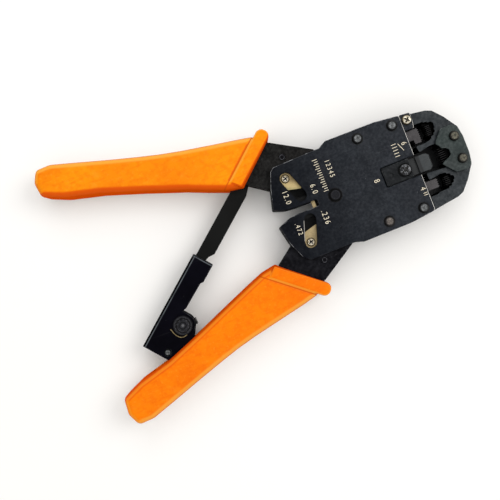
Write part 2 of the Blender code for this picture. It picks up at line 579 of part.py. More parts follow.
# the seat lifts the upper blade to the height of the lower one
plate("upper_blade_seat", lean(HANDLE_BLADE[:4] + [(-14.7, 14.2), (-21.4, 13.6)]), 4.5, 5.1,
      "dark_steel", UPPER, holes(BLADE_HOLE_R, [SCREW_UP]))
for side, blade, at, parent, screw_end in (("upper", BLADE_UP, SCREW_UP, UPPER, 2.5),
                                           ("lower", BLADE_LOW, SCREW_LOW, LOWER, 4.6)):
    plate(side + "_strip_blade", blade, BLADE_BACK, BLADE_FRONT, "blade_brass", parent,
          holes(BLADE_HOLE_R, [at]))
    turned(side + "_blade_screw", at,
           [(1.15, screw_end), (1.15, 5.92), (2.1, 5.95), (2.1, 6.25), (1.75, 6.5)],
           "plated_screw", parent, 20, [cross_recess(at, 2.6, 0.7, 6.08, 12, 20)])

# ---- plunger with its three punches ----------------------------------------------------------
PLUNGER_HALF = [                        # +Y half: x, y, corner radius
    (37.8, 16.9, 0.8), (27.0, 16.9, 0.8), (25.0, 9.0, 1.5), (18.4, 8.2, 2.5)]
CAP = [
    (38.1, SLOT_Y + 4.5, 0.3), (24.5, SLOT_Y + 4.5, 0.6),
    (24.5, SLOT_Y - 4.5, 0.6), (38.1, SLOT_Y - 4.5, 0.3)]
plate("plunger_block", rounded(PLUNGER_HALF + mirror(PLUNGER_HALF)), -6.35, 6.35,
      "black_frame", PLUNGER,
      holes(PLUNGER_PIN_R + GAP, [PLUNGER_PIN_UP, PLUNGER_PIN_LOW])
      + holes(PLUNGER_HOLE_R, [PLUNGER_SCREW], 0.5, 9),
      pocket=([(10, -20), (26.1, -20), (26.1, 20), (10, 20)], -2.5, 2.5))
plate("plunger_cap", rounded(CAP), 6.5, 8.3, "black_frame", PLUNGER,
      holes(PLUNGER_HOLE_R, [PLUNGER_SCREW]) + holes(1.15, [(28.0, -1.0)], 7.8, 12), edge=0.2)
turned("plunger_screw", PLUNGER_SCREW,
       [(1.55, 1.0), (1.55, 8.35), (3.2, 8.4), (3.2, 9.0), (2.6, 9.7), (1.2, 10.0)],
       "black_screw", PLUNGER, cuts=[cross_recess(PLUNGER_SCREW, 4.0, 1.0, 9.0, 13, 30)])

PUNCH_REAR, RIB_ROOT, RIB_FRONT = 38.0, 47.9, 48.3
CONTACT_PITCH, RIB_HALF = 1.02, 0.24


def punch(name, y0, y1, bottom, top, contacts, cuts=()):
    """A slide block with one pressing rib for each contact on its +X face."""
    outline = [(PUNCH_REAR, y0), (RIB_ROOT, y0)]
    for k in range(contacts):
        y = (y0 + y1) / 2 + (k - (contacts - 1) / 2) * CONTACT_PITCH
        outline += [(RIB_ROOT, y - RIB_HALF), (RIB_FRONT, y - RIB_HALF),
                    (RIB_FRONT, y + RIB_HALF), (RIB_ROOT, y + RIB_HALF)]
    outline += [(RIB_ROOT, y1), (PUNCH_REAR, y1)]
    plate(name, outline, bottom, top, "punch_steel", PLUNGER, cuts)


punch("punch_6p", 8.7, 15.7, -5.6, 5.2, 6,
      [([(30, 8), (44.8, 8), (44.8, 10.8), (30, 10.8)], -9, 9)])
punch("punch_4p", -14.3, -10.0, -5.6, 5.2, 4)
# the 8P punch is lowered under the cap and loses its two front corners at the tip end
punch("punch_8p", -5.0, 3.0, -6.2, 7.4, 8,
      [([(30, -9), (41.6, -9), (41.6, 9), (30, 9)], 6.2, 12),
       ([(45.6, 3.5), (49, 1.4), (50, 5)], 4, 12),
       ([(45.6, -5.5), (49, -3.4), (50, -7)], 4, 12)])


def toggle_link(side, arm_pin, plunger_pin, parent):
    """A link from a handle's arm to the plunger, and the plunger pin it turns on."""
    rivet("plunger_pin_" + side, plunger_pin, PLUNGER_PIN_R, -6.3, 6.3, PLUNGER, 20)
    t = math.degrees(math.atan2(plunger_pin[1] - arm_pin[1], plunger_pin[0] - arm_pin[0]))
    outline = (arc(*plunger_pin, 3.4, t - 90, t + 90, 8)
               + arc(*arm_pin, 3.5, t + 90, t + 270, 8))
    plate("toggle_link_" + side, outline, -2.1, 2.1, "dark_steel", parent,
          holes(PLUNGER_PIN_R + RUN_GAP, [plunger_pin]) + holes(LINK_PIN_R + 0.3, [arm_pin]))


toggle_link("upper", ARM_LOW, PLUNGER_PIN_UP, LINK_UP)
toggle_link("lower", ARM_UP, PLUNGER_PIN_LOW, LINK_LOW)

# ---- ratchet housing; outlines from here on are along / across the bar -----------------------
housing_outline = rounded(
    [(-56.8, 45.9), (-56.8, 35.3, 0.6), (-66.6, 35.3, 0.4), (-67.6, 36.3, 0.4), (-81.6, 36.6),
     (-83.3, 37.2), (-83.2, 35.4)]
    + arc(*PAWL_BAR, 5.7, 8, -62, 7) + arc(*xy_to_bar(*HOUSING_PIVOT), 4.4, 20, -180, 11)
    + [(-107.1, 27.0), (-107.1, 45.9)])
# the pocket leaves two walls joined by a web along the far edge
housing_pocket = [(-50, 44.8), (-50, 10), (-115, 10), (-115, 44.8)]
plate("ratchet_housing", [bar_to_xy(*p) for p in housing_outline], -3.6, 3.6, "black_cover",
      HOUSING,
      holes(HOUSING_PIN_R + RUN_GAP, [HOUSING_PIVOT]) + holes(PAWL_PIN_R + RUN_GAP, [PAWL_PIVOT])
      + holes(END_RIVET_R + GAP, [END_RIVET]),
      pocket=([bar_to_xy(*p) for p in housing_pocket], -2.3, 2.3))
rivet("housing_end_rivet", END_RIVET, END_RIVET_R, -3.95, 3.95, HOUSING, 20)

# pawl pin: a shank, a neck for the spring, and a stepped head with a round recess
turned("pawl_pin", PAWL_PIVOT,
       [(1.2, -4.1), (PAWL_PIN_R, -3.9), (PAWL_PIN_R, 3.75), (2.3, 3.8), (2.3, 4.75),
        (4.8, 4.8), (4.8, 5.2), (4.5, 5.45), (3.8, 5.45), (3.7, 5.25), (2.9, 5.25),
        (2.8, 5.55), (2.0, 5.7)],
       "black_screw", HOUSING, cuts=[(circle(*PAWL_PIVOT, 0.9, 12), 4.9, 9)])

# pawl spring: a flat spiral round the pin's neck, as (angle, radius) from the outer end inwards
PAWL_SPIRAL = (
    [(176, 6.3), (184, 5.95)] + [(196 + 14 * k, 5.8) for k in range(4)]
    + [(250, 5.6), (262, 5.2), (276, 4.6), (292, 4.0), (310, 3.65)]
    + [(330 + 20 * k, 3.5 - 0.04 * k) for k in range(13)])
wire("pawl_spring", [(*polar(*PAWL_PIVOT, r, t), 4.1) for t, r in PAWL_SPIRAL], 0.28, HOUSING)

# ---- ratchet bar: teeth and a long notch on the pawl side, an eye at the upper handle --------
BAR_LOW, BAR_HIGH, TOOTH_ROOT = 37.0, 44.6, 38.1            # across the bar
FIRST_TOOTH, TOOTH_PITCH, TEETH = -85.6, 1.8, 9             # along the bar
bar_outline = [(-86.4, BAR_HIGH - 0.6), (-86.4, 38.5)]
for k in range(TEETH):
    along = FIRST_TOOTH + k * TOOTH_PITCH
    bar_outline += [(along, BAR_LOW), (along + 0.5, BAR_LOW),
                    (along + 1.15, TOOTH_ROOT), (along + 1.5, TOOTH_ROOT)]
bar_outline += [(-69.0, 39.2), (-56.0, 39.2), (-54.6, 38.8), (-52.0, BAR_LOW), (-20.0, BAR_LOW)]
bar_outline += arc(*xy_to_bar(*BAR_PIVOT), 4.7, -75, 120, 8)
bar_outline += [(-18.0, 47.4), (-22.0, BAR_HIGH), (-86.0, BAR_HIGH)]
plate("ratchet_bar", [bar_to_xy(*p) for p in bar_outline], -1.5, 1.5, "black_cover", BAR,
      holes(BAR_PIN_R + 1.3, [BAR_PIVOT]))

# ---- pawl: hub, release tab away from the bar, tooth towards it ------------------------------
HUB_R = 2.5
pawl_outline = (
    arc(*PAWL_BAR, HUB_R, 125, 280, 7) + [polar(*PAWL_BAR, 6.9, -56), polar(*PAWL_BAR, 6.6, -30)]
    + arc(*PAWL_BAR, HUB_R, 350, 415, 4)
    + [(PAWL_BAR[0] + 0.35, 36.8), (PAWL_BAR[0] - 0.35, 36.8)])
plate("ratchet_pawl", [bar_to_xy(*p) for p in pawl_outline], -2.0, 2.0, "dark_steel", PAWL,
      holes(PAWL_PIN_R + RUN_GAP, [PAWL_PIVOT]))
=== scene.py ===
"""A plug crimping and stripping hand tool, lying flat on a pale floor.

The thickness runs along Z. The head, with its plug windows, points to +X and the two orange
grips to -X; the upper grip is on the +Y side. Tables are in mm, shader distances in metres.
"""
import math
from functools import cached_property
import bmesh
import bpy
from mathutils import Vector, Matrix


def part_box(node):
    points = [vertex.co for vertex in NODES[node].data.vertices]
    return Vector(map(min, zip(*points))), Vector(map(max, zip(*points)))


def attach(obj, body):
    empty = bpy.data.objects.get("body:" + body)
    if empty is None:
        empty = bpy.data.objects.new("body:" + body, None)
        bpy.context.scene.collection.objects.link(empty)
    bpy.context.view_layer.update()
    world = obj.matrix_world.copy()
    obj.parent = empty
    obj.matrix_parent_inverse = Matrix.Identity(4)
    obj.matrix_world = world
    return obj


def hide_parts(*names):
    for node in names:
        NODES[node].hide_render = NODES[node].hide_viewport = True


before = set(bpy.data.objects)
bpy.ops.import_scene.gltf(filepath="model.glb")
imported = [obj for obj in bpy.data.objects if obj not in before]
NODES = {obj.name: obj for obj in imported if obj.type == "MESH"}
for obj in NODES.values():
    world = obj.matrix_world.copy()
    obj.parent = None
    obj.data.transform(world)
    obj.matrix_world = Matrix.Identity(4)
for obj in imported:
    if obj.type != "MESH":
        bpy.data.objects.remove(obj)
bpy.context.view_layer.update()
MM = 0.001
MID = 10.0            # height of the tool's mid thickness above the floor
COVER_TOP = 18.6      # height of the front cover's top face above the floor

# ---------------------------------------------------------------- grip outlines
# Columns: x, y, optional corner radius. Drawn for the +Y grip and mirrored for the other.
LEAN = math.radians(1.0)      # both grips are turned by this angle about the origin
GRIP_UPPER = [
    (-26.0, 40.6, 2), (-33.0, 42.1), (-45.0, 44.4), (-60.0, 47.4), (-70.0, 49.8),
    (-79.0, 52.3), (-92.0, 56.2), (-108.0, 61.3), (-119.5, 64.9, 8), (-126.8, 64.9, 3),
    (-129.7, 59.3, 4), (-128.9, 52.0, 3), (-119.0, 47.5, 10), (-102.3, 42.9), (-83.4, 36.2),
    (-74.0, 32.6), (-64.6, 29.1), (-55.3, 25.0), (-46.0, 21.2), (-38.6, 19.8), (-21.0, 35.0)]
GRIP_LOWER = [
    (-26.0, 40.6, 2), (-33.0, 42.3), (-45.0, 44.6), (-60.0, 47.5), (-70.0, 49.8),
    (-79.0, 52.4), (-92.0, 56.4), (-108.0, 61.5), (-119.5, 65.1, 8), (-127.2, 65.3, 3),
    (-130.0, 59.0, 4), (-129.2, 50.9, 3), (-119.0, 46.6, 10), (-102.3, 42.4), (-83.4, 35.4),
    (-74.0, 31.7), (-64.6, 28.0), (-55.3, 24.4), (-46.0, 21.0), (-38.6, 19.8), (-21.0, 35.0)]
COLLAR = [(-39.4, 19.9, 0.8), (-17.1, 38.4, 3.0), (-21.3, 43.4, 3.0), (-44.0, 24.2, 0.8)]
# the hollow that takes the steel cheeks
CHEEK_HOLE = [
    (-0.2, 23.9), (-19.9, 35.7), (-26.0, 37.0), (-46.0, 41.0), (-71.0, 46.6),
    (-100.0, 55.2), (-115.0, 59.4), (-117.0, 52.6), (-102.0, 46.2), (-82.0, 39.6),
    (-55.0, 29.6), (-46.0, 26.4), (-40.0, 23.4), (-36.8, 20.8), (-27.6, 14.1)]
# the line pressed into the grip just behind its collar
CREASE = [(-44.0, 24.2), (-21.3, 43.4), (-22.1, 44.3), (-44.8, 25.1)]
CREASE_TURN = math.atan2(CREASE[1][1] - CREASE[0][1], CREASE[1][0] - CREASE[0][0])


def lean(pts):
    c, s = math.cos(LEAN), math.sin(LEAN)
    return [(p[0] * c - p[1] * s, p[0] * s + p[1] * c, *p[2:]) for p in pts]


# slots, already in their final places: for the ratchet bar and for the ratchet housing
BAR_GAP = [(-30.0, 14.0), (-30.0, 29.5), (-36.0, 31.5, 2), (-44.0, 31.5, 3), (-66.0, 36.0, 3),
           (-70.0, 26.0)]
HOUSING_GAP = lean([(-78.0, -28.0), (-78.0, -40.0, 3), (-84.0, -49.5, 4), (-93.0, -53.0, 4),
                    (-104.0, -52.0, 4), (-112.0, -47.0, 3), (-113.0, -36.0)])


# ---------------------------------------------------------------- shader helper
class Shader:
    """Builds one material's node tree; most methods return an output socket."""

    def __init__(self, name):
        self.material = bpy.data.materials.new(name)
        self.material.use_nodes = True
        self.tree = self.material.node_tree
        self.tree.nodes.clear()
        output = self.add("OutputMaterial")
        self.surface = self.add("BsdfPrincipled")
        self.tree.links.new(self.surface.outputs[0], output.inputs[0])
        self.coords = self.add("TexCoord")

    def add(self, kind):
        return self.tree.nodes.new("ShaderNode" + kind)

    @cached_property
    def geometry(self):
        return self.add("NewGeometry")

    def put(self, socket, value):
        """Link a socket, or set a number or an RGB colour."""
        if isinstance(value, bpy.types.NodeSocket):
            self.tree.links.new(value, socket)
        elif isinstance(value, tuple):
            socket.default_value = (*value, 1.0)
        else:
            socket.default_value = value

    def mapped(self, scale, turn=0.0):
        """Object coordinates stretched by scale and turned about Z."""
        node = self.add("Mapping")
        node.inputs["Scale"].default_value = scale
        node.inputs["Rotation"].default_value = (0, 0, turn)
        self.put(node.inputs["Vector"], self.coords.outputs["Object"])
        return node.outputs[0]

    def noise(self, scale, detail=3.0, rough=0.55, vector=None):
        node = self.add("TexNoise")
        node.inputs["Scale"].default_value = scale
        node.inputs["Detail"].default_value = detail
        node.inputs["Roughness"].default_value = rough
        self.put(node.inputs["Vector"], vector or self.coords.outputs["Object"])
        return node.outputs["Fac"]

    def voronoi(self, scale):
        node = self.add("TexVoronoi")
        node.inputs["Scale"].default_value = scale
        self.put(node.inputs["Vector"], self.coords.outputs["Object"])
        return node.outputs["Distance"]

    def math(self, operation, a, b=0.0, clamp=False):
        node = self.add("Math")
        node.operation = operation
        node.use_clamp = clamp
        self.put(node.inputs[0], a)
        self.put(node.inputs[1], b)
        return node.outputs[0]

    def times(self, a, b):
        return self.math("MULTIPLY", a, b)

    def plus(self, a, b, clamp=False):
        return self.math("ADD", a, b, clamp)

    def minus(self, a, b):
        return self.math("SUBTRACT", a, b)

    def larger(self, a, b):
        return self.math("MAXIMUM", a, b)

    def absolute(self, a):
        return self.math("ABSOLUTE", a)

    def project(self, x, dx, y, dy):
        """The vector (x, y) measured along the direction (dx, dy)."""
        return self.plus(self.times(x, dx), self.times(y, dy))

    def length(self, x, y):
        return self.math("SQRT", self.project(x, x, y, y))

    def ramp(self, value, lo, hi, start=0.0, end=1.0):
        """A smooth step from start, at value lo, to end, at value hi."""
        node = self.add("MapRange")
        node.interpolation_type = "SMOOTHSTEP"
        node.clamp = True
        for i, setting in enumerate((value, lo, hi, start, end)):
            self.put(node.inputs[i], setting)
        return node.outputs[0]

    def band(self, value, centre, wide, core, end=1.0):
        """A line at centre: nothing beyond wide from it, full within core."""
        return self.ramp(self.absolute(self.minus(value, centre)), wide, core, end=end)

    def mix(self, factor, a, b):
        node = self.add("Mix")
        node.data_type = "RGBA"
        self.put(node.inputs[0], factor)
        self.put(node.inputs[6], a)
        self.put(node.inputs[7], b)
        return node.outputs[2]

    def xyz(self, vector=None):
        node = self.add("SeparateXYZ")
        self.put(node.inputs[0], vector or self.coords.outputs["Object"])
        return node.outputs

    def facing(self):
        """The true normal's x, y and z."""
        return self.xyz(self.geometry.outputs["True Normal"])

    def flatness(self):
        """1 on level faces, 0 on upright ones."""
        return self.absolute(self.facing()[2])

    def edge(self, lo=0.2, hi=0.93):
        """1 on faces between level and upright: the broken edges of a flat plate."""
        z = self.flatness()
        return self.times(self.ramp(z, lo, lo + 0.06),
                          self.ramp(z, hi, hi + 0.04, start=1.0, end=0.0))

    def bump(self, height, strength, distance, normal=None):
        node = self.add("Bump")
        node.inputs["Strength"].default_value = strength
        node.inputs["Distance"].default_value = distance
        self.put(node.inputs["Height"], height)
        if normal is not None:
            self.put(node.inputs["Normal"], normal)
        return node.outputs[0]

    def finish(self, color, rough, normal, metal=0.0, spec=0.5):
        inputs = self.surface.inputs
        self.put(inputs["Base Color"], color)
        self.put(inputs["Roughness"], rough)
        self.put(inputs["Metallic"], metal)
        self.put(inputs["Normal"], normal)
        self.put(inputs["Specular IOR Level"], spec)
        return self.material


# ---------------------------------------------------------------- painted and oxidised steel
# painted contact shadow rings round the rivets on the cover: x, y, radius (mm)
RIVET_SHADOW_RINGS = [(19.3, 20.9, 2.3), (36.7, 20.8, 2.3), (19.3, -20.9, 2.3), (36.7, -20.8, 2.3),
               (0.0, 0.0, 2.95)]
# the lower strip slot's centre line and half width (mm)
SLOT_START, SLOT_END, SLOT_HALF = (-18.6, -16.5), (-15.2, -6.4), 2.9
FOLD_TURN = math.radians(40)            # direction of the housing's long bend
BEND_AT, MOUTH_AT = 0.0447, -0.0575     # its bend line across, and its mouth along, that way


def mottled(mat, base, dark, light, amount):
    """Uneven blacking: soft patches with finer ones inside. Also returns the gloss."""
    patch = mat.plus(mat.times(mat.noise(scale=190, detail=5, rough=0.65), 0.45),
                     mat.times(mat.noise(scale=760, detail=4, rough=0.7), 0.55))
    darker, lighter = tuple(x * 0.35 for x in dark), tuple(x * 1.8 for x in light)
    base = mat.mix(mat.ramp(patch, lo=0.42, hi=0.62, end=amount), base, darker)
    base = mat.mix(mat.ramp(patch, lo=0.44, hi=0.30, end=amount), base, lighter)
    return base, mat.ramp(patch, lo=0.30, hi=0.64, start=1.0 + amount, end=1.0 - amount)


def cover_painted_shade(mat, base, gloss):
    """Painted shade: the cover's colour and gloss darken towards -X, and painted contact shadows
    ring its rivets.
    """
    # painted shade, deepening towards -X
    rear_shade = mat.ramp(mat.xyz()[0], lo=-0.036, hi=0.022, start=0.70, end=0.0)
    base = mat.mix(rear_shade, base, (0.0, 0.0, 0.0012))
    gloss = mat.times(gloss, mat.minus(1.0, rear_shade))
    # painted contact shadow: a near black ring round each rivet
    for x, y, radius in RIVET_SHADOW_RINGS:
        place = mat.xyz()
        away = mat.length(mat.minus(place[0], x * MM), mat.minus(place[1], y * MM))
        ring = mat.ramp(away, lo=(radius + 0.62) * MM, hi=(radius + 0.30) * MM, end=0.92)
        base = mat.mix(ring, base, (0.0006, 0.0006, 0.0008))
    return base, gloss


def slot_rim_highlight(mat):
    """The -X lip of the lower strip slot: rubbed metal, drawn as a thin bright line of painted
    highlight.
    """
    place = mat.xyz()
    (x0, y0), (x1, y1) = SLOT_START, SLOT_END
    length = math.hypot(x1 - x0, y1 - y0)
    dx, dy = (x1 - x0) / length, (y1 - y0) / length
    x, y = mat.minus(place[0], x0 * MM), mat.minus(place[1], y0 * MM)
    along, across = mat.project(x, dx, y, dy), mat.project(x, -dy, y, dx)
    ends = mat.times(mat.ramp(along, lo=0.0, hi=0.001),
                     mat.ramp(along, lo=length * MM, hi=(length - 1.0) * MM))
    lip = mat.band(across, centre=(SLOT_HALF + 0.06) * MM, wide=0.00022, core=0.00008)
    broken = mat.ramp(mat.noise(scale=300), lo=0.3, hi=0.5, start=0.5)
    return mat.times(mat.times(lip, ends), broken)


def cover_wear_and_highlight(mat, mask, edge, worn):
    """Where the cover is rubbed or carries painted highlight lines, and the colour there."""
    # painted highlight: the rubbed edge lines are kept to chamfers facing -X and +Y on the
    # outline; the openings in the middle get hardly any
    normal, place = mat.facing(), mat.xyz()
    toward_light = mat.ramp(mat.project(normal[0], -0.74, normal[1], 0.67),
                      lo=0.0, hi=0.35, start=0.06)
    away = mat.larger(mat.ramp(mat.absolute(place[1]), lo=0.0120, hi=0.0140),
                      mat.ramp(place[0], lo=-0.0060, hi=-0.0100))
    mask = mat.times(mask, mat.times(toward_light, mat.larger(away, 0.08)))
    # a near white painted highlight line on the worn chamfer along the upper edges that face +X
    # at the head's end
    near = mat.ramp(mat.xyz()[0], lo=0.0403, hi=0.0409)
    top = mat.ramp(mat.facing()[2], lo=0.2, hi=0.3)
    front = mat.ramp(mat.facing()[0], lo=0.25, hi=0.4)
    line = mat.times(mat.times(near, edge), mat.times(top, front))
    mask = mat.larger(mask, line)
    worn = mat.mix(line, worn, (0.80, 0.78, 0.74))
    # the slot's -X lip: rubbed metal with a painted highlight line
    rim = slot_rim_highlight(mat)
    return mat.larger(mask, rim), mat.mix(rim, worn, (0.50, 0.47, 0.43))


def fold_highlight_and_shade(mat, base):
    """A folded sheet: painted highlight lines at the bend and the mouth, painted shade, near
    black, beyond them.
    """
    place = mat.xyz()
    dx, dy = math.cos(FOLD_TURN), math.sin(FOLD_TURN)
    across = mat.project(place[0], -dy, place[1], dx)
    along = mat.project(place[0], dx, place[1], dy)
    face = mat.ramp(mat.flatness(), lo=0.2, hi=0.4)
    for distance, line_at in ((across, BEND_AT), (along, MOUTH_AT)):
        line = mat.band(distance, line_at, wide=0.00034, core=0.00012)
        broken = mat.ramp(mat.noise(scale=210), lo=0.3, hi=0.6, start=0.45)
        line = mat.times(mat.times(line, face), broken)
        beyond = mat.ramp(distance, lo=line_at + 0.0002, hi=line_at + 0.0005, end=0.7)
        base = mat.mix(beyond, base, (0.0004, 0.0004, 0.0008))
        base = mat.mix(line, base, (0.095, 0.105, 0.115))
    return base


def window_walls(mat):
    """1 on the upright walls that look into the plug windows."""
    place = mat.xyz()
    side = mat.ramp(mat.flatness(), lo=0.5, hi=0.2)
    inner = mat.times(mat.ramp(place[0], lo=0.0600, hi=0.0590),
                      mat.ramp(mat.absolute(place[1]), lo=0.0190, hi=0.0180))
    return mat.times(side, inner)


def painted_plate(name, dark, light, worn, rough, edge_wear_and_highlight, spec, grain=1.0, turn=0.0,
                  mottle=0.0, cover=False, fold=False, windows=False):
    """Black oxide or paint on sheet steel: clouding, grain, hairline scuffs, rubbed edges whose
    pale lines are also painted highlight, and sides painted near black as shade.

    turn is the scuffs' direction; cover, fold and windows add one plate's own painted light:
    on the cover painted shade, rubbed edges and painted highlight lines, on a folded sheet
    painted highlight lines with painted shade beyond them, on the plug window walls painted
    shade.
    """
    mat = Shader(name)
    cloud = mat.noise(scale=70, detail=4, rough=0.6)
    fine = mat.noise(scale=2600, detail=2, rough=0.6)
    streaks = mat.noise(scale=1.0, detail=3, rough=0.6, vector=mat.mapped((60, 1500, 60), turn))
    scuffs = mat.ramp(streaks, lo=0.63, hi=0.74)
    specks = mat.ramp(mat.voronoi(scale=260), lo=0.05, hi=0.02)
    base = mat.mix(mat.ramp(cloud, lo=0.3, hi=0.7), dark, light)
    base = mat.mix(mat.times(scuffs, 0.05), base, worn)
    base = mat.mix(mat.times(specks, 0.35), base, worn)
    if mottle:
        base, gloss = mottled(mat, base, dark, light, mottle)
    if cover:
        base, gloss = cover_painted_shade(mat, base, gloss)

    # rubbed edges: bare metal on the bevels, its pale line also standing in for painted highlight
    rub = mat.ramp(mat.noise(scale=420, detail=4, rough=0.65),
                   lo=0.62 - edge_wear_and_highlight * 0.35, hi=0.72 - edge_wear_and_highlight * 0.25)
    edge = mat.edge()
    mask = mat.times(edge, mat.plus(mat.times(rub, 0.9), 0.1, clamp=True))
    if cover:
        mask, worn = cover_wear_and_highlight(mat, mask, edge, worn)
    if fold:
        base = fold_highlight_and_shade(mat, base)

    # painted shade: the sheared sides are painted nearly black and dull
    shaded_flank = mat.ramp(mat.flatness(), lo=0.30, hi=0.15)
    base = mat.mix(mat.times(shaded_flank, 0.85), base, (0.0008, 0.0008, 0.0011))
    dim = mat.minus(1.0, mat.times(shaded_flank, 0.8))
    spec = mat.times(mat.times(gloss, dim) if mottle else dim, spec)
    if windows:
        # painted shade: the walls looking into the plug windows are painted near black and dull
        walls = window_walls(mat)
        base = mat.mix(walls, base, (0.0012, 0.0012, 0.0014))
        mask = mat.times(mask, mat.minus(1.0, walls))
        spec = mat.times(mat.minus(1.0, mat.times(walls, 0.9)), spec)

    roughness = mat.ramp(cloud, lo=0.25, hi=0.75, start=rough - 0.05, end=rough + 0.07)
    roughness = mat.plus(roughness, mat.times(fine, 0.06))
    roughness = mat.minus(roughness, mat.times(mask, 0.12))
    normal = mat.bump(fine, strength=0.10 * grain, distance=0.00005)
    normal = mat.bump(mat.noise(scale=700, detail=3, rough=0.5),
                      strength=0.06 * grain, distance=0.0001, normal=normal)
    return mat.finish(mat.mix(mask, base, worn), roughness, normal, mat.times(mask, 0.25), spec)


# ---------------------------------------------------------------- bare metal
def temper_colours(mat, color):
    """Heat colours along the upper blade's ground cutting edge."""
    start, width = 3.1, 1.1     # mm along the direction below
    place = mat.xyz()
    distance = mat.project(place[0], 0.365, place[1], 0.931)
    blue = mat.ramp(distance, lo=(start + width) * MM, hi=start * MM, end=0.85)
    straw = mat.ramp(distance, lo=(start + width + 3.2) * MM, hi=(start + width + 0.8) * MM,
                     end=0.45)
    return mat.mix(straw, mat.mix(blue, color, (0.085, 0.105, 0.055)), (0.62, 0.50, 0.23))


def bare_metal(name, dark, light, rough, lines, turn=0.0, strength=0.10, metal=0.7,
               stain=0.3, black_to=None, temper=False):
    """Ground or rolled metal: directional lines, clouded tarnish, brighter rubbed edges that are
    partly painted highlight.

    lines scales the grinding on each axis; black_to is the x below which the metal is painted
    near black as shade.
    """
    mat = Shader(name)
    grind = mat.noise(scale=1.0, detail=4, rough=0.65, vector=mat.mapped(lines, turn))
    cloud = mat.noise(scale=220, detail=4, rough=0.6)
    color = mat.mix(mat.ramp(grind, lo=0.3, hi=0.7), dark, light)
    color = mat.mix(mat.times(mat.ramp(cloud, lo=0.5, hi=0.72), stain), color,
                    tuple(x * 0.45 for x in dark))
    # rubbed edges, brightened further as painted highlight
    edge = mat.times(mat.edge(), mat.ramp(mat.noise(scale=500), lo=0.35, hi=0.6))
    bright = tuple(min(1.0, x * 1.9 + 0.04) for x in light)
    color = mat.mix(mat.times(edge, 0.8), color, bright)
    if temper:
        color = temper_colours(mat, color)
    if black_to is not None:
        # painted shade: the metal below that x is made near black
        black = mat.ramp(mat.xyz()[0], lo=black_to + 0.0002, hi=black_to - 0.0002, end=0.85)
        color = mat.mix(black, color, (0.004, 0.005, 0.006))
    roughness = mat.ramp(cloud, lo=0.3, hi=0.7, start=rough - 0.06, end=rough + 0.10)
    return mat.finish(color, roughness, mat.bump(grind, strength, distance=0.00006), metal)


# ---------------------------------------------------------------- rivet, pin and screw heads
def round_head(name, rim, top, rough, rings, metal, spec=0.5, spot=0.0, glint=None,
               grooves=(), pit=None, halo=None, hole=None, dot=False):
    """A turned or peened head: tool rings, a dark shoulder painted as shade round the base, and a
    rubbed crown made paler also as painted highlight.

    Radii are shares of the head's width. rings is the tool rings' count over that width,
    spot darkens the centre, glint is the colour of the painted highlights on the edges,
    grooves are (radius, width), pit is the height below which the recess is painted in shade,
    halo is (radius, width, colour), hole the radius of a dark centre painted as shade in the
    recess, dot a pale centre.
    """
    mat = Shader(name)
    centred = mat.add("VectorMath")
    centred.operation = "SUBTRACT"
    mat.put(centred.inputs[0], mat.coords.outputs["Generated"])
    centred.inputs[1].default_value = (0.5, 0.5, 0.5)
    place = mat.xyz(centred.outputs[0])
    radius = mat.length(place[0], place[1])
    ring = mat.math("SINE", mat.times(radius, rings * 6.283))
    # the crown is rubbed metal on the level top, paler also as painted highlight; round it the
    # darker rim colour is painted shade on the shoulder
    level = mat.ramp(mat.flatness(), lo=0.55, hi=0.95)
    rub = mat.ramp(mat.noise(scale=1300, detail=4, rough=0.65), lo=0.40, hi=0.62)
    crown = mat.times(level, mat.ramp(radius, lo=0.40, hi=0.30))
    crown = mat.times(crown, mat.plus(mat.times(rub, 0.7), 0.25, clamp=True))
    color = mat.mix(crown, rim, top)
    if spot:
        color = mat.mix(mat.times(mat.ramp(radius, lo=0.16, hi=0.08), spot), color,
                        tuple(x * 0.25 for x in rim))
    if pit is not None:
        # painted shade in the recess below pit, and darker towards the head's outer edge
        low = mat.ramp(mat.xyz()[2], lo=pit + 0.00003, hi=pit - 0.00003)
        crevice_shade = mat.times(mat.times(low, mat.ramp(radius, lo=0.42, hi=0.37)), 0.97)
        color = mat.mix(crevice_shade, color, (0.004, 0.0035, 0.003))
        color = mat.mix(mat.ramp(radius, lo=0.42, hi=0.48, end=0.85), color,
                        tuple(x * 0.22 for x in rim))
    for groove_at, wide in grooves:
        color = mat.mix(mat.band(radius, groove_at, wide, core=wide * 0.5, end=0.95), color,
                        (0.0006, 0.0006, 0.0010))
    if dot:
        color = mat.mix(mat.ramp(radius, lo=0.085, hi=0.055, end=0.9), color, (0.16, 0.16, 0.17))
    if hole:
        # painted shade: the recess's dark centre
        color = mat.mix(mat.ramp(radius, lo=hole + 0.04, hi=hole - 0.04, end=0.96), color,
                        (0.005, 0.004, 0.003))
    if halo:
        halo_at, wide, tone = halo
        broken = mat.ramp(mat.noise(scale=1200, detail=2), lo=0.35, hi=0.6, start=0.3)
        color = mat.mix(mat.times(mat.band(radius, halo_at, wide, core=wide * 0.4), broken),
                        color, tone)
    if glint:
        # painted highlight on the head's edges
        glint_edges = mat.times(mat.edge(0.3, 0.95), mat.ramp(radius, lo=0.42, hi=0.36))
        broken = mat.ramp(mat.noise(scale=1100, detail=2), lo=0.45, hi=0.6)
        color = mat.mix(mat.times(glint_edges, broken), color, glint)
    roughness = mat.ramp(mat.noise(scale=600), lo=0.3, hi=0.7,
                         start=rough - 0.07, end=rough + 0.1)
    normal = mat.bump(ring, strength=0.10, distance=0.00004)
    normal = mat.bump(mat.noise(scale=1500), strength=0.12, distance=0.00006, normal=normal)
    return mat.finish(color, roughness, normal, metal, spec)


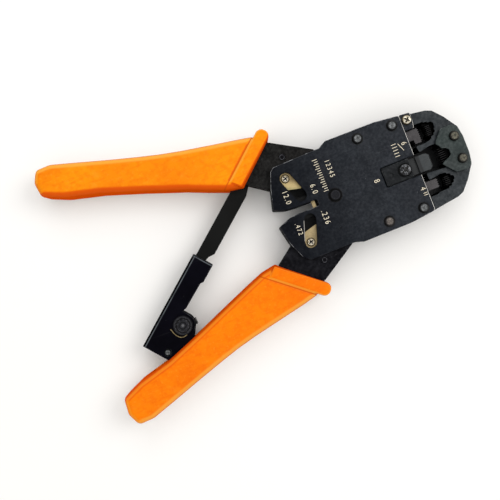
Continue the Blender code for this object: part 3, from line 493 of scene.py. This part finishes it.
# ---------------------------------------------------------------- grips and ink
def grip_vinyl(name, main, deep, pale, side):
    """Dipped vinyl: soft orange, clouded, with fine skin, painted highlight along the folds,
    painted shade on the sides and a little grime.

    side is 1 for the +Y grip and -1 for the other.
    """
    mat = Shader(name)
    cloud = mat.noise(scale=45, detail=4, rough=0.55)
    mottling = mat.noise(scale=330, detail=5, rough=0.65)
    skin = mat.noise(scale=1900, detail=3, rough=0.6)
    pores = mat.voronoi(scale=1100)
    color = mat.mix(mat.ramp(cloud, lo=0.3, hi=0.7, end=0.45), main, deep)
    color = mat.mix(mat.ramp(mottling, lo=0.44, hi=0.66, end=0.42), color, deep)
    streak = mat.noise(scale=1.0, detail=4, rough=0.6,
                       vector=mat.mapped((90, 700, 400), turn=side * 0.27))
    color = mat.mix(mat.ramp(streak, lo=0.52, hi=0.68, end=0.34), color, deep)
    flecks = mat.noise(scale=700, detail=3, rough=0.7)
    color = mat.mix(mat.ramp(flecks, lo=0.56, hi=0.66, end=0.22), color, (0.96, 0.38, 0.03))
    bloom = mat.noise(scale=150, detail=4, rough=0.6)
    color = mat.mix(mat.ramp(bloom, lo=0.55, hi=0.8, end=0.30), color, pale)
    grime = mat.ramp(mat.noise(scale=820, detail=4, rough=0.7), lo=0.66, hi=0.80)
    color = mat.mix(mat.times(grime, 0.30), color, (0.42, 0.12, 0.01))

    # painted shade: upright sides fall to a deeper red-orange; slopes get painted highlight
    # outwards and painted shade, red, inwards
    up = mat.absolute(mat.xyz(mat.geometry.outputs["Normal"])[2])
    color = mat.mix(mat.ramp(up, lo=0.62, hi=0.12, end=0.85), color, (0.66, 0.085, 0.003))
    outward = mat.times(mat.xyz(mat.geometry.outputs["Normal"])[1], side)
    lit = mat.times(mat.ramp(outward, lo=0.15, hi=0.70, end=0.70),
                    mat.ramp(up, lo=0.30, hi=0.55))
    color = mat.mix(lit, color, (0.86, 0.42, 0.085))
    color = mat.mix(mat.ramp(outward, lo=-0.06, hi=-0.42, end=0.88), color,
                    (0.72, 0.075, 0.002))
    # painted highlight: a paler line along the fold between sides and faces
    line = mat.times(mat.ramp(up, lo=0.50, hi=0.72), mat.ramp(up, lo=0.96, hi=0.86))
    share = 0.55 if side < 0 else mat.ramp(outward, lo=-0.10, hi=0.05, end=0.55)
    color = mat.mix(mat.times(line, share), color, pale)

    # painted shadow of the collar band along the pressed line behind it, on the top face only
    crease_x, crease_y = (sum(axis) / len(CREASE) for axis in zip(*CREASE))
    x, y = lean([(crease_x, side * crease_y)])[0]
    turn = side * CREASE_TURN + LEAN
    place = mat.xyz()
    across = mat.project(mat.minus(place[0], x * MM), -math.sin(turn),
                         mat.minus(place[1], y * MM), math.cos(turn))
    top = mat.ramp(mat.xyz()[2], lo=0.0150, hi=0.0170)
    crevice_shade = mat.ramp(mat.absolute(across), lo=0.00045, hi=0.00020, end=0.75)
    color = mat.mix(mat.times(crevice_shade, top), color, (0.56, 0.075, 0.002))
    # light bounced off the grips is kept near neutral, so their shadows stay grey
    seen = mat.add("LightPath").outputs["Is Camera Ray"]
    color = mat.mix(seen, (0.74, 0.60, 0.54), color)

    roughness = mat.ramp(mottling, lo=0.3, hi=0.75, start=0.38, end=0.52)
    normal = mat.bump(skin, strength=0.10, distance=0.00012)
    normal = mat.bump(pores, strength=0.05, distance=0.00008, normal=normal)
    normal = mat.bump(mat.noise(scale=90), strength=0.10, distance=0.0009, normal=normal)
    return mat.finish(color, roughness, normal, spec=mat.ramp(up, lo=0.35, hi=0.75, end=0.05))


def cream_ink():
    """Printed figures: cream, a little broken, with the black showing through."""
    mat = Shader("print_cream_ink")
    worn = mat.ramp(mat.noise(scale=2400, detail=4, rough=0.7), lo=0.60, hi=0.70)
    cloud = mat.noise(scale=900)
    color = mat.mix(mat.ramp(cloud, lo=0.3, hi=0.7), (0.70, 0.61, 0.44), (0.83, 0.76, 0.60))
    color = mat.mix(mat.times(worn, 0.35), color, (0.10, 0.09, 0.075))
    normal = mat.bump(mat.noise(scale=2600), strength=0.15, distance=0.00004)
    return mat.finish(color, mat.ramp(cloud, lo=0.3, hi=0.7, start=0.45, end=0.6), normal)


# ---------------------------------------------------------------- the materials
def below_top(node, depth):
    """The height at a depth, in mm, below a piece's top."""
    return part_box(node)[1][2] - depth * MM


NICKEL_GLINT = (0.97, 0.94, 0.84)
MATERIALS = {
    "cover": painted_plate(
        "cover_black_oxide", dark=(0.0058, 0.0084, 0.0138), light=(0.0105, 0.0140, 0.0205),
        worn=(0.26, 0.27, 0.285), rough=0.42, edge_wear_and_highlight=0.40, spec=0.19, turn=0.37, mottle=0.38,
        cover=True),
    "cheek": painted_plate(
        "cheek_black_oxide", dark=(0.0030, 0.0030, 0.0048), light=(0.0052, 0.0053, 0.0080),
        worn=(0.16, 0.165, 0.18), rough=0.44, edge_wear_and_highlight=0.45, spec=0.07, turn=-0.6, mottle=0.6),
    "cheek_upper": painted_plate(
        "cheek_upper_oxide", dark=(0.0062, 0.0058, 0.0056), light=(0.0100, 0.0094, 0.0090),
        worn=(0.16, 0.165, 0.17), rough=0.44, edge_wear_and_highlight=0.45, spec=0.10, turn=0.3, mottle=0.6),
    "back": painted_plate(
        "back_black_oxide", dark=(0.010, 0.011, 0.013), light=(0.016, 0.018, 0.021),
        worn=(0.20, 0.20, 0.20), rough=0.42, edge_wear_and_highlight=0.25, spec=0.3, turn=0.9),
    "frame": painted_plate(
        "frame_phosphate", dark=(0.0085, 0.0128, 0.0170), light=(0.0135, 0.0190, 0.0240),
        worn=(0.10, 0.12, 0.12), rough=0.44, edge_wear_and_highlight=0.25, spec=0.30, grain=1.4, turn=1.1,
        mottle=0.45, windows=True),
    # painted shade: the frame parts seen deep in the plug windows are made near black and dull
    "frame_inner": painted_plate(
        "frame_inner_shade_black", dark=(0.0035, 0.0038, 0.0040), light=(0.0065, 0.0070, 0.0072),
        worn=(0.03, 0.032, 0.032), rough=0.5, edge_wear_and_highlight=0.1, spec=0.10, grain=1.4, turn=1.1,
        windows=True),
    "bridge": painted_plate(
        "bridge_phosphate", dark=(0.0105, 0.0190, 0.0190), light=(0.0175, 0.0300, 0.0285),
        worn=(0.11, 0.12, 0.12), rough=0.42, edge_wear_and_highlight=0.35, spec=0.32, grain=1.4, turn=0.2,
        mottle=0.4),
    # painted shade: the die nests deep in the plug windows are made near black and dull
    "die": painted_plate(
        "die_nest_shade_black", dark=(0.0012, 0.0012, 0.0013), light=(0.0022, 0.0022, 0.0025),
        worn=(0.012, 0.012, 0.012), rough=0.6, edge_wear_and_highlight=0.05, spec=0.05),
    "ratchet": painted_plate(
        "ratchet_black_oxide", dark=(0.0009, 0.0008, 0.0022), light=(0.0024, 0.0022, 0.0050),
        worn=(0.10, 0.105, 0.11), rough=0.44, edge_wear_and_highlight=0.40, spec=0.02, grain=1.2, turn=-0.87,
        fold=True),
    "bar": painted_plate(
        "bar_black_oxide", dark=(0.0030, 0.0032, 0.0030), light=(0.0055, 0.0057, 0.0055),
        worn=(0.07, 0.072, 0.07), rough=0.40, edge_wear_and_highlight=0.25, spec=0.07, grain=1.2, turn=-0.87),
    "slide": painted_plate(
        "slide_black_oxide", dark=(0.0045, 0.0060, 0.0078), light=(0.0080, 0.0100, 0.0125),
        worn=(0.10, 0.105, 0.11), rough=0.36, edge_wear_and_highlight=0.30, spec=0.15, grain=1.2, turn=0.6,
        mottle=0.4),
    "punch": bare_metal(
        "punch_tool_steel", dark=(0.032, 0.030, 0.032), light=(0.058, 0.054, 0.057),
        rough=0.46, lines=(6000, 500, 500), metal=0.6, stain=0.25),
    # its -X end is painted near black as shade
    "punch_wide": bare_metal(
        "punch_wide_steel", dark=(0.014, 0.018, 0.021), light=(0.030, 0.034, 0.036),
        rough=0.42, lines=(500, 6000, 500), metal=0.5, stain=0.35, black_to=0.0434),
    "blade": bare_metal(
        "strip_blade_steel", dark=(0.25, 0.19, 0.095), light=(0.44, 0.345, 0.19),
        rough=0.40, lines=(500, 7000, 500), turn=0.35),
    "blade_upper": bare_metal(
        "strip_blade_tempered", dark=(0.25, 0.18, 0.085), light=(0.44, 0.335, 0.17),
        rough=0.40, lines=(500, 7000, 500), turn=0.35, temper=True),
    "comb": bare_metal(
        "comb_steel", dark=(0.003, 0.003, 0.004), light=(0.010, 0.010, 0.011),
        rough=0.30, lines=(700, 700, 3000), strength=0.08),
    "wire": bare_metal(
        "spring_wire", dark=(0.16, 0.12, 0.06), light=(0.40, 0.31, 0.16),
        rough=0.32, lines=(900, 900, 900), strength=0.05, metal=1.0),
    "pin": round_head(
        "pin_dark_steel", rim=(0.006, 0.006, 0.007), top=(0.040, 0.041, 0.043),
        rough=0.38, rings=20, metal=0.4, spec=0.2),
    "rivet": round_head(
        "rivet_black_crown", rim=(0.004, 0.0045, 0.0055), top=(0.170, 0.180, 0.185),
        rough=0.32, rings=9, metal=0.5, spec=0.35, spot=0.55, glint=(0.34, 0.36, 0.36)),
    "rivet_tip": round_head(
        "rivet_tip_brown", rim=(0.010, 0.0095, 0.008), top=(0.105, 0.100, 0.074),
        rough=0.34, rings=9, metal=0.6, spec=0.3, spot=0.45, glint=(0.26, 0.25, 0.20)),
    "rivet_low": round_head(
        "rivet_rubbed_brown", rim=(0.012, 0.010, 0.010), top=(0.155, 0.135, 0.12),
        rough=0.34, rings=9, metal=0.6, spot=0.3, glint=(0.30, 0.28, 0.26)),
    "pivot": round_head(
        "pivot_black", rim=(0.0010, 0.0010, 0.0022), top=(0.0085, 0.0092, 0.0128),
        rough=0.36, rings=7, metal=0.1, spec=0.14, grooves=((0.44, 0.09),),
        halo=(0.33, 0.03, (0.022, 0.023, 0.028))),
    "hub": round_head(
        "hub_black", rim=(0.0035, 0.0035, 0.005), top=(0.020, 0.021, 0.026),
        rough=0.28, rings=5, metal=0.25, spec=0.14, glint=(0.10, 0.10, 0.11),
        grooves=((0.33, 0.05), (0.17, 0.035)), halo=(0.43, 0.03, (0.030, 0.031, 0.036)),
        dot=True),
    "nickel": round_head(
        "screw_nickel", rim=(0.20, 0.165, 0.10), top=(0.66, 0.60, 0.47), rough=0.26, rings=12,
        metal=0.85, glint=NICKEL_GLINT, pit=below_top("latch_guide_screw", 0.25)),
    "nickel_blade": round_head(
        "blade_screw_nickel", rim=(0.16, 0.125, 0.07), top=(0.60, 0.53, 0.40), rough=0.26,
        rings=12, metal=0.85, glint=NICKEL_GLINT, pit=below_top("upper_blade_screw", 0.12),
        hole=0.17),
    "black_screw": round_head(
        "screw_black", rim=(0.003, 0.0035, 0.0045), top=(0.010, 0.011, 0.015), rough=0.22,
        rings=8, metal=0.2, spec=0.30, glint=(0.42, 0.44, 0.47),
        pit=below_top("plunger_screw", 0.33)),
    "core": round_head(
        "core_rivet_ring", rim=(0.0010, 0.0010, 0.0020), top=(0.0022, 0.0022, 0.0036),
        rough=0.38, rings=5, metal=0.1, spec=0.06, halo=(0.38, 0.075, (0.085, 0.086, 0.098))),
    "grip_upper": grip_vinyl(
        "grip_vinyl_upper", main=(0.91, 0.285, 0.002), deep=(0.80, 0.140, 0.001),
        pale=(0.96, 0.39, 0.030), side=1.0),
    "grip_lower": grip_vinyl(
        "grip_vinyl_lower", main=(0.91, 0.215, 0.001), deep=(0.80, 0.118, 0.001),
        pale=(0.96, 0.33, 0.018), side=-1.0),
    "ink": cream_ink(),
}

# which pieces wear which material
WEARERS = {
    "cover": "front_cover latch_guide_plate",
    "back": "back_cover",
    "bar": "ratchet_bar",
    "cheek_upper": "upper_cheek_front upper_cheek_back",
    "cheek": "lower_cheek_front lower_cheek_back",
    "frame": "die_frame_front",
    "frame_inner": "die_frame_core die_frame_back strip_anvil_upper strip_anvil_lower",
    "bridge": "die_bridge",
    "die": "die_nest_6p die_nest_8p die_nest_4p",
    "ratchet": "ratchet_housing",
    "slide": "plunger_cap plunger_block",
    "punch": "punch_6p punch_4p",
    "punch_wide": "punch_8p",
    "blade": "strip_blade_6mm lower_strip_blade",
    "blade_upper": "upper_strip_blade",
    "wire": "handle_return_spring pawl_spring",
    "pin": "upper_core_rivet lower_core_rivet upper_link_pin lower_link_pin ratchet_bar_pin "
           "ratchet_pivot_pin plunger_pin_upper plunger_pin_lower toggle_link_upper "
           "toggle_link_lower ratchet_pawl upper_blade_seat",
    "rivet": "frame_rivet_1 frame_rivet_2 frame_rivet_4 housing_end_rivet",
    "rivet_low": "frame_rivet_3",
    "rivet_tip": "tip_rivet_1 tip_rivet_2",
    "core": "upper_spacer_rivet lower_spacer_rivet",
    "pivot": "main_pivot_rivet",
    "hub": "pawl_pin",
    "nickel": "latch_guide_screw",
    "nickel_blade": "upper_blade_screw lower_blade_screw",
    "black_screw": "plunger_screw",
    "grip_upper": "upper_grip",
    "grip_lower": "lower_grip",
}


def paint(obj, material):
    obj.data.materials.clear()
    obj.data.materials.append(MATERIALS[material])


for material, names in WEARERS.items():
    for node in names.split():
        paint(NODES[node], material)


# ---------------------------------------------------------------- broken edges on the plates
def break_edges(obj, width, segments, angle):
    bevel = obj.modifiers.new("broken_edge", "BEVEL")
    bevel.width = width * MM
    bevel.segments = segments
    bevel.limit_method = "ANGLE"
    bevel.angle_limit = math.radians(angle)


def soften(names, width, segments=2, angle=38):
    """Join each piece's facets into whole sides, then bevel its edges."""
    for node in names.split():
        obj = NODES[node]
        weld = obj.modifiers.new("join_corners", "WELD")
        weld.merge_threshold = 1e-6
        flat = obj.modifiers.new("one_face_per_side", "DECIMATE")
        flat.decimate_type = "DISSOLVE"
        flat.angle_limit = math.radians(1.0)
        break_edges(obj, width, segments, angle)


soften("back_cover die_frame_front die_frame_back upper_cheek_front upper_cheek_back "
       "lower_cheek_front lower_cheek_back", width=0.18)
soften("ratchet_housing", width=0.55, segments=3)
soften("plunger_screw latch_guide_screw upper_blade_screw lower_blade_screw pawl_pin",
       width=0.09, angle=50)
soften("ratchet_bar punch_8p punch_6p punch_4p latch_guide_plate toggle_link_upper "
       "toggle_link_lower strip_anvil_upper strip_anvil_lower", width=0.12)


# ---------------------------------------------------------------- outlines (mm, in plan)
def mirror(pts):
    return [(p[0], -p[1], *p[2:]) for p in pts][::-1]


def counterclockwise(pts):
    area = 0.5 * sum(a[0] * b[1] - b[0] * a[1] for a, b in zip(pts, pts[1:] + pts[:1]))
    return pts[::-1] if area < 0 else pts


def neighbours(pts, i):
    """The corner at i, the one before it and the one after it."""
    return [Vector(p[:2]) for p in (pts[i], pts[i - 1], pts[(i + 1) % len(pts)])]


def offset(pts, distance):
    """Move a counterclockwise outline inwards by distance."""
    moved = []
    for i, point in enumerate(pts):
        corner, before, after = neighbours(pts, i)
        arrive, leave = (corner - before).normalized(), (after - corner).normalized()
        miter = Vector((-arrive.y - leave.y, arrive.x + leave.x))
        miter = miter / max(miter.length_squared / 2, 0.5)
        moved.append((corner.x + miter.x * distance, corner.y + miter.y * distance, *point[2:]))
    return moved


def rounded(pts, steps, shrink=0.0):
    """Replace each corner that has a radius by an arc of that radius less shrink."""
    out = []
    for i, point in enumerate(pts):
        radius = point[2] if len(point) > 2 else 0
        if radius <= 0:
            out.append((point[0], point[1]))
            continue
        corner, before, after = neighbours(pts, i)
        back, ahead = (before - corner).normalized(), (after - corner).normalized()
        half = math.acos(max(-1, min(1, back.dot(ahead)))) / 2
        cut = min(max(radius - shrink, 0.25) / math.tan(half),
                  (before - corner).length * 0.49, (after - corner).length * 0.49)
        radius = cut * math.tan(half)
        centre = corner + (back + ahead).normalized() * (radius / math.sin(half))
        start, end = corner + back * cut - centre, corner + ahead * cut - centre
        first = math.atan2(start.y, start.x)
        sweep = (math.atan2(end.y, end.x) - first + math.pi) % (2 * math.pi) - math.pi
        for k in range(steps + 1):
            angle = first + sweep * k / steps
            out.append((centre.x + radius * math.cos(angle), centre.y + radius * math.sin(angle)))
    return out


# ---------------------------------------------------------------- mesh helpers
def new_object(name, mesh):
    obj = bpy.data.objects.new(name, mesh)
    bpy.context.scene.collection.objects.link(obj)
    return obj


def object_from(name, build):
    mesh = bpy.data.meshes.new(name)
    build.to_mesh(mesh)
    build.free()
    return new_object(name, mesh)


def solid_from(name, build):
    bmesh.ops.recalc_face_normals(build, faces=build.faces)
    return object_from(name, build)


def loft(build, rings):
    """Add a capped solid through rings of (outline, height above the floor)."""
    levels = [[build.verts.new((x * MM, y * MM, z * MM)) for x, y in ring] for ring, z in rings]
    build.faces.new(levels[0][::-1])
    build.faces.new(levels[-1])
    for a, b in zip(levels, levels[1:]):
        for i in range(len(a)):
            j = (i + 1) % len(a)
            build.faces.new((a[i], a[j], b[j], b[i]))


def lofted(name, rings):
    """A solid through rings of (outline, height from mid thickness)."""
    build = bmesh.new()
    loft(build, [(ring, z + MID) for ring, z in rings])
    return solid_from(name, build)


def prism(name, pts, z0, z1):
    pts = counterclockwise(pts)
    return lofted(name, [(pts, z0), (pts, z1)])


def crowned(name, corners, lo, hi, wide, high, levels):
    """A pad whose long edges are rounded over wide (in plan) by high (in height)."""
    corners = counterclockwise(corners)
    rings = []
    for i in range(levels + 1):
        angle = math.pi / 2 * i / levels
        rings.append((wide * (1 - math.sin(angle)), lo + high * (1 - math.cos(angle))))
    rings += [(inset, hi - (z - lo)) for inset, z in rings[::-1]]
    return lofted(name, [(rounded(offset(corners, inset), 7, inset), z) for inset, z in rings])


def evaluated_mesh(obj):
    bpy.context.view_layer.update()
    depsgraph = bpy.context.evaluated_depsgraph_get()
    return bpy.data.meshes.new_from_object(obj.evaluated_get(depsgraph), depsgraph=depsgraph)


def bake(obj):
    """Apply the modifiers and shade smooth."""
    mesh = evaluated_mesh(obj)
    obj.modifiers.clear()
    obj.data = mesh
    mesh.shade_smooth()


# ---------------------------------------------------------------- the grips
def make_grip(name, which, outline, place, half, slot, slot_half):
    """A padded grip with its collar, hollow over +-half and slotted over +-slot_half."""
    grip = crowned(name, place(outline), -10.0, 10.0, wide=3.4, high=4.0, levels=9)
    band = crowned(name + "_band", place(COLLAR), -9.9, 10.5, wide=1.1, high=1.2, levels=7)
    crease = prism(name + "_crease", place(CREASE), 9.55, 12.0)
    hole = offset(counterclockwise(place(CHEEK_HOLE)), -0.25)
    hollow = prism(name + "_hollow", hole, -half, half)
    gap = prism(name + "_gap", rounded(slot, 5), -slot_half, slot_half)
    tools = ((crease, "DIFFERENCE"), (band, "UNION"), (hollow, "DIFFERENCE"), (gap, "DIFFERENCE"))
    for tool, operation in tools:
        cut = grip.modifiers.new("b", "BOOLEAN")
        cut.operation, cut.solver, cut.object = operation, "EXACT", tool
    bake(grip)
    # blend the joined solids into one soft skin
    skin = grip.modifiers.new("skin", "REMESH")
    skin.mode = "VOXEL"
    skin.voxel_size = 0.00034
    soft = grip.modifiers.new("soft", "SMOOTH")
    soft.factor, soft.iterations = 0.5, 3
    bake(grip)
    for tool, _ in tools:
        bpy.data.objects.remove(tool)
    paint(grip, "grip_" + which)
    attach(grip, which + "_handle")
    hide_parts(which + "_grip")


make_grip("vinyl_grip_upper", "upper", GRIP_UPPER, lean,
          half=4.6, slot=BAR_GAP, slot_half=2.1)
make_grip("vinyl_grip_lower", "lower", GRIP_LOWER, lambda pts: lean(mirror(pts)),
          half=6.7, slot=HOUSING_GAP, slot_half=4.3)


# ---------------------------------------------------------------- print on the front cover
def mount_on_head(obj, material):
    paint(obj, material)
    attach(obj, "head")


# text, x, y, size; all read along -Y
FIGURES = [("6", 38.9, 10.9, 3.7), ("8", 20.6, -1.0, 3.9), ("4", 39.6, -12.3, 3.7),
           ("6.0", -8.4, 6.4, 3.7), ("12.0", -21.9, 7.3, 3.7), (".472", -21.9, -8.7, 3.3),
           (".236", -8.0, -8.0, 3.8), ("12345", 2.0, 12.7, 3.4)]
FIGURE_NARROW = 0.82      # width of the letters against their usual width
STROKE_WIDTH = 0.26


def figure(text, x, y, size):
    curve = bpy.data.curves.new("figure_curve", "FONT")
    curve.body = text
    curve.size = size * MM
    curve.extrude = 0.00002
    curve.offset = -0.000025
    curve.space_character = 1.32
    curve.align_x, curve.align_y = "CENTER", "CENTER"
    draft = new_object("figure_tmp", curve)
    bpy.context.view_layer.update()
    depsgraph = bpy.context.evaluated_depsgraph_get()
    mesh = bpy.data.meshes.new_from_object(draft.evaluated_get(depsgraph))
    bpy.data.objects.remove(draft)
    name = "figure_%s_%d" % (text.replace(".", "p"), int(abs(x * 10) + abs(y)))
    obj = new_object(name, mesh)
    obj.matrix_world = (Matrix.Translation((x * MM, y * MM, (COVER_TOP + 0.02) * MM))
                        @ Matrix.Rotation(math.radians(-90), 4, "Z")
                        @ Matrix.Diagonal((FIGURE_NARROW, 1.0, 1.0, 1.0)))
    mount_on_head(obj, "ink")


def strokes(name, cells):
    """Printed strokes with softened corners, each (x, y, length, turn in degrees)."""
    build = bmesh.new()
    for x, y, length, turn in cells:
        c, s = math.cos(math.radians(turn)), math.sin(math.radians(turn))
        signs = ((-1, -1), (1, -1), (1, 1), (-1, 1))
        box = [(i * length / 2, j * STROKE_WIDTH / 2, STROKE_WIDTH * 0.45) for i, j in signs]
        ring = [(x + u * c - v * s, y + u * s + v * c) for u, v in rounded(box, 3)]
        loft(build, [(ring, COVER_TOP + 0.005), (ring, COVER_TOP + 0.04)])
    mount_on_head(solid_from(name, build), "ink")


for entry in FIGURES:
    figure(*entry)
# a graduated scale, every other mark longer, and short tallies beside two plug windows
strokes("printed_scale", [(-2.9, 18.9 - k * 1.1, 1.7, 0) if k % 2
                          else (-2.9 - 0.35, 18.9 - k * 1.1, 2.4, 0) for k in range(15)])
strokes("printed_tally_6",
        [(37.0, 9.8, 4.4, -67)] + [(34.1, 12.1 - 1.45 * k, 2.4, 0) for k in range(5)])
strokes("printed_tally_4", [(40.0, -14.5 - 1.0 * k, 2.0, 0) for k in range(2)])


# ---------------------------------------------------------------- combs in the plug windows
def comb(name, x0, x1, first_y, pitch, count, top, thick):
    """Thin upright fins with a sloped -X end, at the blind end of a plug window."""
    bottom = 1.0
    side = [(x0, bottom), (x1, bottom), (x1, top), (x0 + 0.7, top), (x0, top - 1.1)]
    build = bmesh.new()
    for k in range(count):
        y = first_y + pitch * k
        a, b = [[build.verts.new((x * MM, face_y * MM, (z + MID) * MM)) for x, z in side]
                for face_y in (y - thick / 2, y + thick / 2)]
        build.faces.new(a)
        build.faces.new(b[::-1])
        for i in range(len(side)):
            j = (i + 1) % len(side)
            build.faces.new((a[i], b[i], b[j], a[j]))
    obj = solid_from(name, build)
    break_edges(obj, width=0.06, segments=1, angle=40)
    mount_on_head(obj, "comb")


comb("comb_8p", 52.9, 57.2, first_y=-4.6, pitch=1.02, count=8, top=5.2, thick=0.34)
comb("comb_6p", 51.6, 54.4, first_y=10.6, pitch=0.85, count=6, top=4.2, thick=0.3)
comb("comb_4p", 51.2, 54.2, first_y=-14.6, pitch=0.9, count=5, top=4.2, thick=0.3)


# ---------------------------------------------------------------- floor, light, camera
def make_floor():
    build = bmesh.new()
    bmesh.ops.create_grid(build, x_segments=8, y_segments=8, size=3.0)
    floor = object_from("floor", build)
    mat = Shader("floor_paper")
    color = mat.mix(mat.noise(scale=9), (0.90, 0.89, 0.88), (0.93, 0.925, 0.92))
    normal = mat.bump(mat.noise(scale=500), strength=0.05, distance=0.0001)
    floor.data.materials.append(mat.finish(color, rough=0.75, normal=normal, spec=0.2))


def make_world():
    """A warm white sky, dim at the horizon and brightest overhead."""
    world = bpy.data.worlds.new("studio")
    bpy.context.scene.world = world
    world.use_nodes = True
    tree = world.node_tree
    background = tree.nodes["Background"]
    background.inputs[0].default_value = (1.0, 0.988, 0.965, 1)
    direction = tree.nodes.new("ShaderNodeNewGeometry")
    split = tree.nodes.new("ShaderNodeSeparateXYZ")
    sky = tree.nodes.new("ShaderNodeMapRange")
    tree.links.new(direction.outputs["Incoming"], split.inputs[0])
    tree.links.new(split.outputs[2], sky.inputs[0])
    horizon, overhead = (0.0, 0.34), (-1.0, 1.15)     # incoming z, strength
    sky.inputs[1].default_value, sky.inputs[3].default_value = horizon
    sky.inputs[2].default_value, sky.inputs[4].default_value = overhead
    tree.links.new(sky.outputs[0], background.inputs[1])


def area_light(name, location, size, power, color):
    """A disk light aimed at the tool."""
    light = bpy.data.lights.new(name, "AREA")
    light.shape = "DISK"
    light.size = size
    light.energy = power
    light.color = color
    obj = new_object(name, light)
    obj.location = location
    aim = Vector((-0.03, 0, 0)) - Vector(location)
    obj.rotation_euler = aim.to_track_quat("-Z", "Y").to_euler()


def make_camera():
    """Looks straight down; the turn about Z slants the tool in the view."""
    height = 350.0            # above the front cover
    view_width = 235.84906    # seen at the cover's height
    data = bpy.data.cameras.new("camera")
    data.sensor_width = 36.0
    data.lens = 36.0 * height / view_width
    data.clip_start, data.clip_end = 0.01, 50
    camera = new_object("camera", data)
    place = Matrix.Translation((-46.93 * MM, -9.47 * MM, (COVER_TOP + height) * MM))
    camera.matrix_world = place @ Matrix.Rotation(math.radians(-21.4), 4, "Z")
    bpy.context.scene.camera = camera


make_floor()
make_world()
area_light("key", (0.72, 0.05, 0.95), size=0.75, power=4.2, color=(1.0, 0.985, 0.96))
area_light("fill", (0.15, 0.75, 0.9), size=0.9, power=2.0, color=(0.95, 0.98, 1.0))
make_camera()
bpy.context.scene.view_settings.view_transform = "Standard"
bpy.context.scene.view_settings.look = "None"

bpy.context.view_layer.update()
